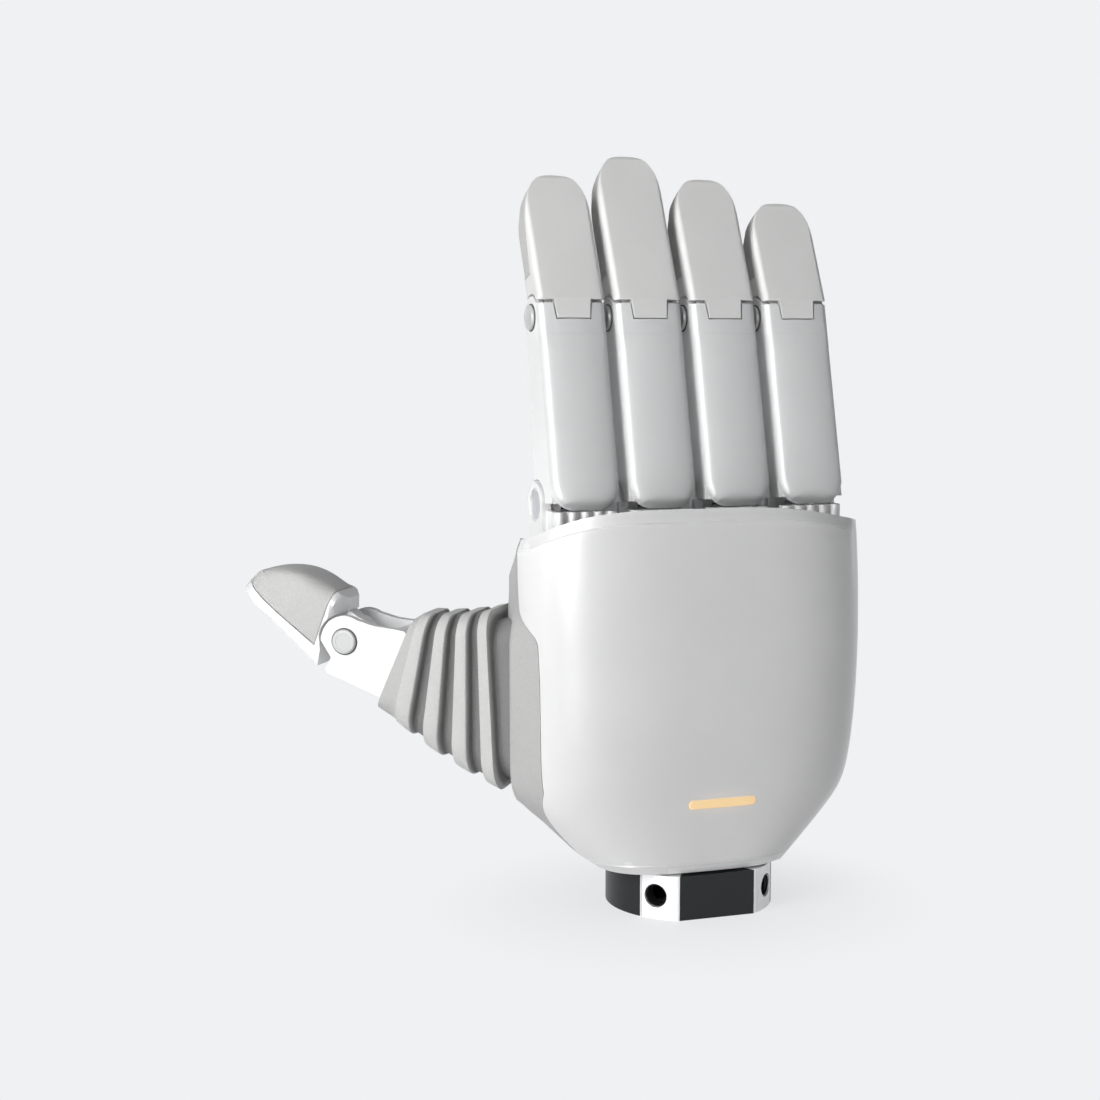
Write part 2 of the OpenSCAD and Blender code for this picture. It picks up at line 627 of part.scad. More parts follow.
module finger_pin(i) color(STEEL) phalanx_frame(i) translate([0, -pip_rise, phalanx_len]) {
    // two stub pins, which leave the middle free for the coupler
    both() translate([pin_in, 0, 0]) rotate([0, 90, 0]) cylinder(d = pip_pin_d, h = finger_w / 2 - pin_in);
    both() translate([finger_w / 2, 0, 0]) rotate([0, 90, 0])
        rotate_extrude() polygon([[0, 0], [pin_head_d / 2, 0], [pin_head_d / 2, 0.5],
            [pin_head_d / 2 - 0.3, 0.9], [0, 0.95]]);
}

// Fingertip outlines: front view and side view for a tip of length l
tip_y0 = 4.4;
function tip_front(l) = concat([[-finger_w / 2, -8], [finger_w / 2, -8]],
    [for (k = [0:10]) let (t = 9 * k) [finger_w / 2 * spow(cos(t), 0.72), l - 15 + 15 * spow(sin(t), 0.85)]],
    [for (k = [9:-1:0]) let (t = 9 * k) [-finger_w / 2 * spow(cos(t), 0.72), l - 15 + 15 * spow(sin(t), 0.85)]]);
function tip_side(l) = concat([[-tip_back, 1.4], [-tip_back, l - 4], [-tip_back + 0.3, l - 1.2]],
    [for (k = [9:-1:0]) let (t = 10 * k, z0 = 0.46 * l)
        [-6.6 + (6.6 + tip_y0) * spow(cos(t), 1.35), z0 + (l - z0) * spow(sin(t), 1.35)]],
    [[tip_y0 - 0.6, 7.2], [tip_y0 - 1.4, 5.9]], arc([0, 0], nose_r + 0.6, 60, 158, 11));
function tip_section() = concat(
    arc([-finger_w / 2 + 1.6, -tip_back + 1.9], 1.6, 180, 262, 4),
    arc([finger_w / 2 - 1.6, -tip_back + 1.9], 1.6, 278, 360, 4),
    arc([finger_w / 2 - 4.5, tip_y0 - 4.5], 4.5, 0, 90, 6), arc([-finger_w / 2 + 4.5, tip_y0 - 4.5], 4.5, 90, 180, 6));

module tip_form(l) intersection() {
    front(60) polygon(tip_front(l));
    side(40) polygon(tip_side(l));
    translate([0, 0, -10]) linear_extrude(l + 12) polygon(tip_section());
}

// Side view of the pad's share of the tip; d moves its edge
module pad_side(l, d) polygon([[-tip_back + tip_back_t + d, 9.9 + d], [20, 12.6 + d], [20, l + 5],
    [-tip_back + 1.2 + d, l + 5], [-tip_back + 1.6 + d, l - 6]]);

module tip_shell(i) color(WHITE) tip_frame(i) difference() {
    union() {
        difference() {
            tip_form(tip_len[i]);
            side(60) pad_side(tip_len[i], 0);
        }
        // barrel on the joint's pin
        xrod(nose_r - 0.3, 2 * plate_in - 2 * play);
        intersection() {
            tip_form(tip_len[i]);
            translate([-plate_in + 1.6, -5, 3]) cube([2 * plate_in - 3.2, 7.6, 16]);
        }
        translate([-plate_in + play, -5, 0]) cube([2 * plate_in - 2 * play, 7, 8]);
        // tongue in the cover's notch, in line with the cover
        rotate([lean_pip, 0, 0]) tongue();
    }
    xrod(pip_pin_d / 2 + run, 40);
    side(coupler_t + 0.8) polygon([[-5.2, -3.5], [-4, -12], [12, -12], [12, 0], [5.6, 5.6], [-5.2, 5.6]]);
}

tongue_foot = notch_z - tongue_len - phalanx_len;
module tongue() translate([0, -(phalanx_back - pip_rise) + 1, 0]) front(1.3)
    polygon([[-tongue_w / 2 + play, 3.4], [tongue_w / 2 - play, 3.4],
        [tongue_w / 2 - play - 0.5, tongue_foot + play], [-tongue_w / 2 + play + 0.5, tongue_foot + play]]);

module tip_pad(i) color(GREY) tip_frame(i) difference() {
    intersection() {
        tip_form(tip_len[i]);
        side(60) pad_side(tip_len[i], 0.12);
    }
    translate([-plate_in + 1.4, -6, 3]) cube([2 * plate_in - 2.8, 8.8, 16.3]);
}

// ---------- thumb ----------

module yrod(r, w) rotate([90, 0, 0]) cylinder(r = r, h = w, center = true);
module yboth() {
    children();
    mirror([0, 1, 0]) children();
}

module thumb_pivot_pin() color(STEEL) thumb_plane() translate([swing_out, 0, thumb_z - 15])
    cylinder(d = thumb_pin_d, h = 30);

fork_in = 3.9;
fork_out = 6.3;
module thumb_carrier() color(STEEL) thumb_plane() difference() {
    union() {
        translate([swing_out, 0, thumb_z - 15 + 3.5 + play]) cylinder(r = 4.4, h = 26.5 - 3.5 - 2 * play);
        for (s = [-1, 1]) hull() {
            translate([swing_out + 2.4, s * 3 - 0.9, thumb_z - 7]) cube([1, 1.8, 14]);
            translate([swing_out + 6, s * (fork_in + 1.2) - 1.2, base_z - 6]) cube([1, 2.4, 12]);
        }
        for (s = [-1, 1]) translate([0, s * (fork_in + fork_out) / 2, 0]) rotate([90, 0, 0])
            linear_extrude(fork_out - fork_in, center = true) union() {
                translate([base_out, base_z]) circle(r = 5.6);
                translate([swing_out + 6, base_z - 5.6]) square([base_out - swing_out - 6, 11.2]);
            }
    }
    translate([swing_out, 0, 0]) cylinder(r = thumb_pin_d / 2 + run, h = 100);
    translate([base_out, 0, base_z]) yrod(thumb_pin_d / 2, 40);
}

module thumb_base_pin() color(STEEL) thumb_plane() translate([base_out, 0, base_z])
    yrod(thumb_pin_d / 2, 2 * fork_out + 0.6);

// Cheek of the thumb's link, side view round the tip joint
cheek_nose = 6.4;
collar_u = -13.5;
module cheek_side() polygon(concat(
    [[collar_u - 0.7, -8.9], [collar_u, -9.3], [1.4, -9.4], [2.2, -8.7]],
    arc([10.5, -5.6], 8.6, 200, 178, 3),
    arc([0, 0], cheek_nose, -22, 100, 12),
    [[-6, 6.9], [collar_u + 3, 8.2], [collar_u, 8.9], [collar_u - 0.7, 8.6]]));

module thumb_link() color(WHITE) link_frame() difference() {
    union() {
        yboth() translate([0, thumb_half - cheek_t / 2, 0]) rotate([90, 0, 0])
            linear_extrude(cheek_t, center = true) cheek_side();
        // back wall and collar block that join the cheeks
        rotate([90, 0, 0]) linear_extrude(2 * thumb_half - 1, center = true)
            polygon([[collar_u - 0.7, -8.8], [collar_u, -9.2], [-7, -9.3], [-8.4, -6.5], [-9.5, 0], [-10, 7.2],
                [collar_u, 8.6], [collar_u - 0.7, 8.4]]);
        // tongue to the base joint
        rotate([90, 0, 0]) linear_extrude(2 * fork_in - 2 * play, center = true) union() {
            translate([-thumb_len, 0]) circle(r = 5.2);
            translate([-thumb_len, -5.2]) square([thumb_len + collar_u + 1, 10.4]);
        }
    }
    translate([-thumb_len, 0, 0]) yrod(thumb_pin_d / 2 + run, 40);
    yrod(thumb_pin_d / 2, 40);
}

module thumb_pin() color(STEEL) link_frame() {
    yrod(thumb_pin_d / 2, 2 * thumb_half);
    yboth() translate([0, thumb_half, 0]) rotate([-90, 0, 0]) rotate_extrude()
        polygon([[0, 0], [pin_head_d / 2, 0], [pin_head_d / 2, 0.4], [pin_head_d / 2 - 0.3, 0.75], [0, 0.8]]);
}

// Side view of the thumb's tip round its joint
back_v = -10.4;
module thumb_tip_side() polygon(concat(
    [[1.2, back_v + 0.6], [2, back_v], [thumb_tip_len - 0.8, back_v], [thumb_tip_len, back_v + 0.8]],
    [for (k = [0:10]) let (t = 9 * k)
        [8.6 + (thumb_tip_len - 8.8) * spow(cos(t), 1.02), back_v + 2.4 + 15 * spow(sin(t), 1.04)]],
    [[7.3, 7.2]], arc([0, 0], cheek_nose + 0.7, 42, -30, 8), [[3.4, -6.2], [2.2, -8.2]]));

module thumb_form() intersection() {
    rotate([90, 0, 0]) linear_extrude(2 * thumb_half, center = true) thumb_tip_side();
    // plan: round end
    translate([0, 0, -20]) linear_extrude(40) polygon(concat([[-10, -thumb_half], [8, -thumb_half]],
        [for (k = [-8:8]) let (t = 10.6 * k) [thumb_tip_len - 17 + 17 * spow(cos(t), 0.8), thumb_half * spow(sin(t), 0.75)]],
        [[8, thumb_half], [-10, thumb_half]]));
    // section: rounded on the pad's side
    rotate([90, 0, 90]) linear_extrude(100, center = true) polygon(concat(
        [[-thumb_half, back_v + 1], [-thumb_half + 1, back_v], [thumb_half - 1, back_v], [thumb_half, back_v + 1]],
        [for (k = [0:12]) let (t = 15 * k) [thumb_half * spow(cos(t), 0.7), 8 * spow(sin(t), 0.75)]]));
}

// The pad's share of the thumb's tip, side view; d moves its edge
module thumb_pad_side(d) polygon([[5.2 + d, back_v + 3.9 + d], [thumb_tip_len - 3, back_v + 2.2 + d],
    [thumb_tip_len + 4, back_v + 2.2 + d], [thumb_tip_len + 4, 20], [11 + d, 20], [10.2 + d, 6]]);

module thumb_core() translate([0, 0, 0]) rotate([90, 0, 0]) linear_extrude(2 * (thumb_half - cheek_t - play), center = true)
    polygon(concat([[9, back_v + 5], [17, back_v + 5], [17, -1], [10, 4]], arc([0, 0], 5.4, 60, 300, 16)));

module thumb_tip_shell() color(WHITE) thumb_tip_frame() difference() {
    union() {
        difference() {
            thumb_form();
            rotate([90, 0, 0]) linear_extrude(40, center = true) thumb_pad_side(0);
        }
        thumb_core();
    }
    yrod(thumb_pin_d / 2 + run, 40);
}

module thumb_tip_pad() color(GREY) thumb_tip_frame() difference() {
    intersection() {
        thumb_form();
        rotate([90, 0, 0]) linear_extrude(40, center = true) thumb_pad_side(0.12);
    }
    rotate([90, 0, 0]) linear_extrude(2 * (thumb_half - cheek_t), center = true)
        polygon([[5, back_v + 4.8], [17.2, back_v + 4.8], [17.2, -0.8], [10.4, 4.4], [4, 8]]);
}

// ---------- bellows ----------

collar_s = 0.93;
// Loop of the bellows at share s of its length, raised by e at the sides and by eh at top and bottom
bellows_len = 30.2;
function bellows_centre(s) = [bellows_len * s * (1 - 0.03 * s) - 0.6, 0, bellows_z + 0.3 * s + 6.48 * s * s];
function bellows_loop(s, e, eh) =
    let (c = bellows_centre(s), turn = 21 * pow(s, 1.5),
        h = bellows_h0 - bellows_taper * min(s, collar_s) + 2 * eh
            - (bellows_h0 - bellows_taper * collar_s - bellows_h1) * max(0, s - collar_s) / (1 - collar_s),
        w = 2 * (bellows_w0 + (bellows_w1 - bellows_w0) * s + e), n = 6,
        ring = rounded(h, w, bellows_r, n))
    [for (q = ring) [c[0] - sin(turn) * q[0], q[1], c[2] + cos(turn) * q[0]]];
// Rows of the folds from one to another: share of the length, and share of the fold's depth
fold_pitch = 0.92 / folds;
function fold_rows(from, to) = [for (k = [from:to], q = [[-0.35, 1], [-0.27, 0], [0, 0], [0.27, 0], [0.35, 1]])
    [0.03 + fold_pitch * (k + 0.5 + q[0]), q[1]]];
module bellows(rows, inside) tube_skin(concat(
    [for (r = rows) bellows_loop(r[0], -fold * min(1, r[1]), -0.45 * fold * r[1])],
    [for (k = [len(inside) - 1:-1:0]) let (r = inside[k])
        bellows_loop(r[0], -fold - bellows_wall + 0.4, -0.45 * fold * r[1] - bellows_wall + 0.4)]));

root_folds = floor(folds / 2);
bellows_split = 0.03 + fold_pitch * root_folds;
// The root's end is low enough to pass under the rim of the palm's boss
root_dip = 3.2;
root_rim = 0.088;
module bellows_root() color(GREY) thumb_plane() bellows(
    concat([[0.01, root_dip], [root_rim, root_dip], [root_rim + 0.022, 0]],
        [for (r = fold_rows(0, root_folds - 1)) if (r[0] > root_rim + 0.03) r], [[bellows_split, 1]]),
    [[0.01, root_dip], [root_rim, root_dip], [root_rim + 0.05, 1], [(root_rim + bellows_split) / 2, 1],
        [bellows_split, 1]]);
module bellows_neck() color(GREY) thumb_plane()
    bellows(concat([[bellows_split, 1]], fold_rows(root_folds, folds - 1), [[0.955, 0.35], [1, 0.35]]),
        [for (k = [0:5]) [bellows_split + (1 - bellows_split) * k / 5, 1]]);

// ---------- nodes ----------

wrist_flange();
contact_plate();
palm_frame();
back_shell();
palm_shell();
light_bar();
control_board();
finger_actuators();
thumb_actuator();
shell_screws();
swing_pins();
knuckle(0);  // index_knuckle
axle(0);  // index_axle
drive_rod(0);  // index_drive_rod
phalanx(0);  // index_phalanx
finger_cover(0);  // index_cover
phalanx_pad(0);  // index_phalanx_pad
coupler(0);  // index_coupler
finger_pin(0);  // index_pin
tip_shell(0);  // index_tip_shell
tip_pad(0);  // index_tip_pad
knuckle(1);  // middle_knuckle
axle(1);  // middle_axle
drive_rod(1);  // middle_drive_rod
phalanx(1);  // middle_phalanx
finger_cover(1);  // middle_cover
phalanx_pad(1);  // middle_phalanx_pad
coupler(1);  // middle_coupler
finger_pin(1);  // middle_pin
tip_shell(1);  // middle_tip_shell
tip_pad(1);  // middle_tip_pad
knuckle(2);  // ring_knuckle
axle(2);  // ring_axle
drive_rod(2);  // ring_drive_rod
phalanx(2);  // ring_phalanx
finger_cover(2);  // ring_cover
phalanx_pad(2);  // ring_phalanx_pad
coupler(2);  // ring_coupler
finger_pin(2);  // ring_pin
tip_shell(2);  // ring_tip_shell
tip_pad(2);  // ring_tip_pad
knuckle(3);  // little_knuckle
axle(3);  // little_axle
drive_rod(3);  // little_drive_rod
phalanx(3);  // little_phalanx
finger_cover(3);  // little_cover
phalanx_pad(3);  // little_phalanx_pad
coupler(3);  // little_coupler
finger_pin(3);  // little_pin
tip_shell(3);  // little_tip_shell
tip_pad(3);  // little_tip_pad
thumb_pivot_pin();
thumb_carrier();
thumb_base_pin();
thumb_link();
thumb_pin();
thumb_tip_shell();
thumb_tip_pad();
bellows_root();
bellows_neck();
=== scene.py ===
import math

import bmesh
import bpy
from mathutils import Matrix, Vector


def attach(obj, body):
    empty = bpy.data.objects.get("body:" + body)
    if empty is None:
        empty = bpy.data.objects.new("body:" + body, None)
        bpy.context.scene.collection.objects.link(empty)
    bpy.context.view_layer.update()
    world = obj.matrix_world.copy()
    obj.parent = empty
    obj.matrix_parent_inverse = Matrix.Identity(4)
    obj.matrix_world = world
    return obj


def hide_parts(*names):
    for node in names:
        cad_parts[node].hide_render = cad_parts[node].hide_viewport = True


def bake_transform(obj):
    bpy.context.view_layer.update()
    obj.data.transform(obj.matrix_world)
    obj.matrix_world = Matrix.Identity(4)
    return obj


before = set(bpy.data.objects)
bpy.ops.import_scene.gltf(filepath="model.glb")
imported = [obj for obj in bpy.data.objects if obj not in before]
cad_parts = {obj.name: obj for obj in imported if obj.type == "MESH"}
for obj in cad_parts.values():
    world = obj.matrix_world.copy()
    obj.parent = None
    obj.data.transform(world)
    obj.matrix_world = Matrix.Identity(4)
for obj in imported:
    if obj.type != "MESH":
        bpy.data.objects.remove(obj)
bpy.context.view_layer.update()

# ---------------------------------------------------------------------------
# Camera: level, a little left of the hand's back and just above the wrist,
# with a long lens, so that the fingers' left sides and the thumb show.
eye = Vector((-0.181293, -0.430202, 0.140759))
look = Vector((0.31594, 0.94229, -0.11079)).normalized()
across = look.cross(Vector((0, 0, 1))).normalized()
upward = across.cross(look)
camera = bpy.data.objects.new("camera", bpy.data.cameras.new("camera"))
camera.data.sensor_width = 36
camera.data.lens = 61.356
camera.matrix_world = Matrix((
    (across.x, upward.x, -look.x, eye.x),
    (across.y, upward.y, -look.y, eye.y),
    (across.z, upward.z, -look.z, eye.z),
    (0, 0, 0, 1)))
bpy.context.collection.objects.link(camera)
bpy.context.scene.camera = camera


# ---------------------------------------------------------------------------
# Materials are mixed from sockets on which sums can be written.
class Mix:
    """One socket of a material's node tree, with the operators that make Math nodes."""

    def __init__(self, tree, socket=None):
        self.tree = tree
        self.socket = socket

    def node(self, kind, values, out=0, stops=None, **settings):
        node = self.tree.nodes.new("ShaderNode" + kind)
        for name, value in settings.items():
            setattr(node, name, value)
        if stops:
            ramp = node.color_ramp.elements
            while len(ramp) < len(stops):
                ramp.new(0.5)
            for stop, (place, colour) in zip(ramp, stops):
                stop.position = place
                stop.color = colour if len(colour) == 4 else (*colour, 1)
        for name, value in values.items():
            if isinstance(value, Mix):
                self.tree.links.new(value.socket, node.inputs[name])
            else:
                node.inputs[name].default_value = value
        return Mix(self.tree, node.outputs[out])

    def maths(self, operation, *values):
        return self.node("Math", dict(enumerate(values)), operation=operation)

    def __add__(self, other):
        return self.maths("ADD", self, other)

    def __sub__(self, other):
        return self.maths("SUBTRACT", self, other)

    def __rsub__(self, other):
        return self.maths("SUBTRACT", other, self)

    def __mul__(self, other):
        return self.maths("MULTIPLY", self, other)

    def __truediv__(self, other):
        return self.maths("DIVIDE", self, other)

    def __pow__(self, other):
        return self.maths("POWER", self, other)

    def __gt__(self, other):
        return self.maths("GREATER_THAN", self, other)

    __radd__ = __add__
    __rmul__ = __mul__

    def step(self, low, high):
        """0 where this is below low, 1 above high, smooth between."""
        return self.node("MapRange", {"Value": self, "From Min": low, "From Max": high},
                         interpolation_type="SMOOTHSTEP")

    def place(self):
        return self.node("TexCoord", {}, out="Object")

    def noise(self, size, detail=3.0, rough=0.55, place=None):
        """Noise whose blobs are size metres across."""
        return self.node("TexNoise", {"Vector": place or self.place(), "Scale": 1 / size,
                                      "Detail": detail, "Roughness": rough}, out="Fac")

    def cells(self, size, place=None, feature="SMOOTH_F1"):
        """Cells size metres across, 0 at their centres."""
        values = {"Vector": place or self.place(), "Scale": 1 / size}
        if feature == "SMOOTH_F1":
            values["Smoothness"] = 0.6
        return self.node("TexVoronoi", values, out="Distance", feature=feature)

    def tint(self, amount, first, second):
        """The first colour, turning into the second as amount goes from 0 to 1."""
        return self.node("Mix", {0: amount, 6: first if isinstance(first, Mix) else (*first, 1),
                                 7: second if isinstance(second, Mix) else (*second, 1)},
                         out=2, data_type="RGBA")

    def bump(self, height, depth, base=None):
        """A bump depth metres deep."""
        values = {"Height": height, "Distance": depth, "Strength": 1.0}
        if base:
            values["Normal"] = base
        return self.node("Bump", values)


def new_material(name):
    material = bpy.data.materials.new(name)
    material.use_nodes = True
    shader = material.node_tree.nodes["Principled BSDF"]
    return material, shader, Mix(material.node_tree)


def feed(shader, **values):
    for name, value in values.items():
        socket = shader.inputs[name.replace("_", " ")]
        if isinstance(value, Mix):
            value.tree.links.new(value.socket, socket)
        else:
            socket.default_value = value


def pale_plastic(name, colour, rough, coat=0.0, texture=0.000004, grain=0.0005, tone=0.03):
    """Injection-moulded plastic: a fine spark-eroded skin, a trace of flow marks and handling."""
    material, shader, mix = new_material(name)
    place = mix.place()
    fine = mix.noise(grain, 2.0, 0.6, place)
    flow = mix.noise(0.024, 3.0, 0.5, place)
    handled = mix.noise(0.009, 5.0, 0.62, place).step(0.5, 0.72)
    dark = tuple(c * (1 - tone) for c in colour)
    base = mix.tint(flow.step(0.35, 0.65), dark, colour)
    base = mix.tint(handled * 0.35, base, tuple(c * (1 - 1.4 * tone) for c in colour))
    feed(shader, Base_Color=base, Roughness=rough + (fine - 0.5) * 0.08 + handled * 0.06,
         Coat_Weight=coat, Coat_Roughness=0.18, IOR=1.47,
         Normal=mix.bump(fine, texture, mix.bump(flow, 0.00006)))
    return material


def elastomer(name, colour, cell, depth, rough=0.72, rubbed=0.0, fold_shade=0.0):
    """Soft moulded elastomer with a fine leather grain, darker in the grain's pits, and with painted shade in the
    folds' hollows where asked.
    """
    material, shader, mix = new_material(name)
    place = mix.place()
    warped = mix.node("VectorMath", {0: place, 1: mix.node("VectorMath", {
        0: mix.node("TexNoise", {"Vector": place, "Scale": 0.6 / cell, "Detail": 1.0}, out="Color"),
        "Scale": cell * 0.9}, operation="SCALE")}, operation="ADD")
    hide = mix.cells(cell, warped)
    fine = mix.noise(cell * 0.45, 3.0, 0.6, place)
    height = hide.step(0.05, 0.62) * -1.0 + fine * 0.35
    blotch = mix.noise(0.018, 4.0, 0.55, place)
    base = mix.tint(hide.step(0.25, 0.75), tuple(c * 1.02 for c in colour), tuple(c * 0.93 for c in colour))
    base = mix.tint(blotch.step(0.35, 0.7) * 0.5, base, tuple(c * 0.95 for c in colour))
    if rubbed:
        edge = mix.node("NewGeometry", {}, out="Pointiness").step(0.505, 0.56)
        base = mix.tint(edge * rubbed, base, tuple(min(1.0, c * 1.12) for c in colour))
    # Painted shade: the base darkens towards black in the bellows' fold hollows, by how deep in a fold each vertex
    # lies.
    if fold_shade:
        deep = mix.node("Attribute", {}, out="Fac", attribute_name="fold_shade")
        base = mix.tint(deep.step(0.1, 0.75) * fold_shade, base, (0.1, 0.1, 0.1))
    feed(shader, Base_Color=base, Roughness=rough + (fine - 0.5) * 0.16,
         Sheen_Weight=0.12, Sheen_Roughness=0.5, IOR=1.42,
         Normal=mix.bump(height, depth))
    return material


def metal(name, colour, rough, turned=0.0, metallic=1.0, coat=0.0):
    """Machined metal: fine tool marks in rings or strokes, and rubbed edges."""
    material, shader, mix = new_material(name)
    place = mix.place()
    strokes = mix.node("TexNoise", {"Vector": mix.node("Mapping", {"Vector": place, "Scale": (400, 400, 6000)}),
                                    "Scale": 1.0, "Detail": 2.0}, out="Fac")
    stain = mix.noise(0.006, 4.0, 0.6, place)
    base = mix.tint(stain.step(0.3, 0.7) * 0.5, colour, tuple(c * 0.82 for c in colour))
    feed(shader, Base_Color=base, Metallic=metallic, Coat_Weight=coat, Coat_Roughness=0.1,
         Roughness=rough + (strokes - 0.5) * 0.12 + stain * 0.05,
         Normal=mix.bump(strokes, 0.000003 + turned))
    return material


def give(piece, material):
    piece.data.materials.clear()
    piece.data.materials.append(material)


def moulded(name, node, body, material, edge=0.00035, steps=2, sharp=24, shape=None, also=()):
    """A copy of a part's solid with its faces joined and its edges rounded as the mould leaves them."""
    bm = bmesh.new()
    bm.from_mesh(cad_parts[node].data)
    bmesh.ops.remove_doubles(bm, verts=bm.verts, dist=0.000004)
    bmesh.ops.dissolve_limit(bm, angle_limit=math.radians(0.6), verts=bm.verts, edges=bm.edges)
    bmesh.ops.dissolve_degenerate(bm, edges=bm.edges, dist=0.00001)
    if shape:
        shape(bm)
    corners = [e for e in bm.edges if len(e.link_faces) == 2 and e.calc_face_angle(0) > math.radians(sharp)]
    if edge:
        bmesh.ops.bevel(bm, geom=corners, offset=edge, offset_type="OFFSET", segments=steps, profile=0.5,
                        affect="EDGES", clamp_overlap=True, material=-1)
    piece = piece_of(bm, name, body, material)
    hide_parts(node, *also)
    return piece


def piece_of(bm, name, body, material, smooth=38):
    """Makes the mesh an object that rides on body if one is named, smooth except over sharp edges."""
    mesh = bpy.data.meshes.new(name)
    bmesh.ops.triangulate(bm, faces=[f for f in bm.faces if len(f.verts) > 4])
    for face in bm.faces:
        face.smooth = True
    for e in bm.edges:
        e.smooth = len(e.link_faces) == 2 and e.calc_face_angle(0) < math.radians(smooth)
    bm.to_mesh(mesh)
    bm.free()
    piece = bpy.data.objects.new(name, mesh)
    bpy.context.collection.objects.link(piece)
    give(piece, material)
    even = piece.modifiers.new("even", "WEIGHTED_NORMAL")
    even.keep_sharp = True
    even.weight = 60
    if body:
        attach(piece, body)
    return piece


# ---------------------------------------------------------------------------
# Floor and studio: a plain pale sweep that keeps only the hand's soft contact
# shadow, and large soft lights, the strongest from the left.
backdrop = (0.871, 0.880, 0.896)
floor_mesh = bmesh.new()
bmesh.ops.create_grid(floor_mesh, x_segments=1, y_segments=1, size=3)
floor_data = bpy.data.meshes.new("floor")
floor_mesh.to_mesh(floor_data)
floor = bpy.data.objects.new("floor", floor_data)
bpy.context.collection.objects.link(floor)

floor_material, floor_shader, mix = new_material("floor")
feed(floor_shader, Base_Color=(0.86, 0.86, 0.86, 1), Roughness=0.9)
spot = mix.node("VectorMath", {0: mix.place(), 1: (-0.004, -0.004, 0)}, operation="SUBTRACT")
spot = mix.node("VectorMath", {0: spot, 1: (1.0, 1.15, 0)}, operation="MULTIPLY")
near = mix.node("VectorMath", {0: spot}, out="Value", operation="LENGTH").step(0.075, 0.015) * 0.22
rays = mix.node("LightPath", {}, out="Is Camera Ray")
gloss = mix.node("LightPath", {}, out="Is Glossy Ray")
plain = mix.node("Emission", {"Color": (*backdrop, 1), "Strength": 1.0})
lit_floor = Mix(mix.tree, floor_shader.outputs[0])
seen = mix.node("MixShader", {0: near, 1: plain, 2: lit_floor})
shown = mix.node("MixShader", {0: rays.maths("MAXIMUM", rays, gloss), 1: lit_floor, 2: seen})
mix.tree.links.new(shown.socket, mix.tree.nodes["Material Output"].inputs[0])
give(floor, floor_material)

world = bpy.data.worlds.new("studio")
bpy.context.scene.world = world
world.use_nodes = True
sky = Mix(world.node_tree)
sky_light = world.node_tree.nodes["Background"]
sky_light.inputs[0].default_value = (0.95, 0.97, 1.0, 1)
sky_light.inputs[1].default_value = 0.16
sky_seen = sky.node("Background", {"Color": (*backdrop, 1), "Strength": 1.0})
sky_rays = sky.node("LightPath", {}, out="Is Camera Ray")
sky_mix = sky.node("MixShader", {0: sky_rays, 1: Mix(world.node_tree, sky_light.outputs[0]), 2: sky_seen})
world.node_tree.links.new(sky_mix.socket, world.node_tree.nodes["World Output"].inputs[0])


def softbox(name, place, aim, width, height, power):
    lamp = bpy.data.lights.new(name, "AREA")
    lamp.shape = "RECTANGLE"
    lamp.size = width
    lamp.size_y = height
    lamp.energy = power
    box = bpy.data.objects.new(name, lamp)
    box.location = place
    box.rotation_euler = (Vector(aim) - Vector(place)).to_track_quat("-Z", "Y").to_euler()
    bpy.context.collection.objects.link(box)
    return box


softbox("key", (-0.8, -0.36, 0.32), (0, 0, 0.09), 0.4, 0.9, 9.0)
softbox("front", (0.3, -0.9, 0.3), (0, 0, 0.1), 0.6, 0.6, 0.5)
sheen = softbox("sheen", (-0.5, -0.72, 0.25), (0, 0, 0.08), 0.3, 0.8, 22.0)
sheen.visible_diffuse = False
softbox("top", (-0.1, -0.1, 0.9), (0, 0, 0.1), 0.5, 0.5, 0.45)
softbox("rim", (0.7, 0.2, 0.2), (0, 0, 0.1), 0.12, 0.8, 0.35)

bpy.context.scene.view_settings.view_transform = "Standard"

# ---------------------------------------------------------------------------
# Wrist spigot: turned aluminium, black anodised, with a milled flat at the back.
# The bands round its four threaded holes are bare polished metal, painted near white as a painted reflection, and each
# seam has a pale painted highlight line.
def wrist_metal():
    material, shader, mix = new_material("wrist_metal")
    place = mix.place()
    x = mix.node("SeparateXYZ", {"Vector": place}, out="X")
    y = mix.node("SeparateXYZ", {"Vector": place}, out="Y")
    around = mix.maths("ABSOLUTE", mix.maths("ARCTAN2", x, y * -1.0))
    bare_and_reflection = around.step(0.487, 0.495) * (1 - around.step(0.962, 0.968))
    rear = (3.14159 - around).step(0.487, 0.495) * (1 - (3.14159 - around).step(0.962, 0.968))
    bare_and_reflection = bare_and_reflection.maths("MAXIMUM", bare_and_reflection, rear)
    seam = around.step(0.965, 0.972) * (1 - around.step(0.985, 0.992))
    tool = mix.node("TexNoise", {"Vector": mix.node("Mapping", {"Vector": place, "Scale": (60, 60, 5200)}),
                                 "Scale": 1.0, "Detail": 2.0}, out="Fac")
    # Painted reflection: the bands round the holes are near white; painted highlight: the seam line is pale.
    base = mix.tint(bare_and_reflection, (0.008, 0.0105, 0.011), (0.95, 0.95, 0.955))
    base = mix.tint(seam, base, (0.75, 0.75, 0.76))
    feed(shader, Base_Color=base, Metallic=bare_and_reflection * 0.25, IOR=1.4,
         Roughness=0.3 + (tool - 0.5) * 0.1 + (1 - bare_and_reflection) * 0.06,
         Normal=mix.bump(tool - seam * 0.6, 0.00002))
    return material


black_anodised = wrist_metal()
moulded("wrist_spigot", "wrist_flange", "palm", black_anodised, edge=0.0003, steps=2, sharp=30)

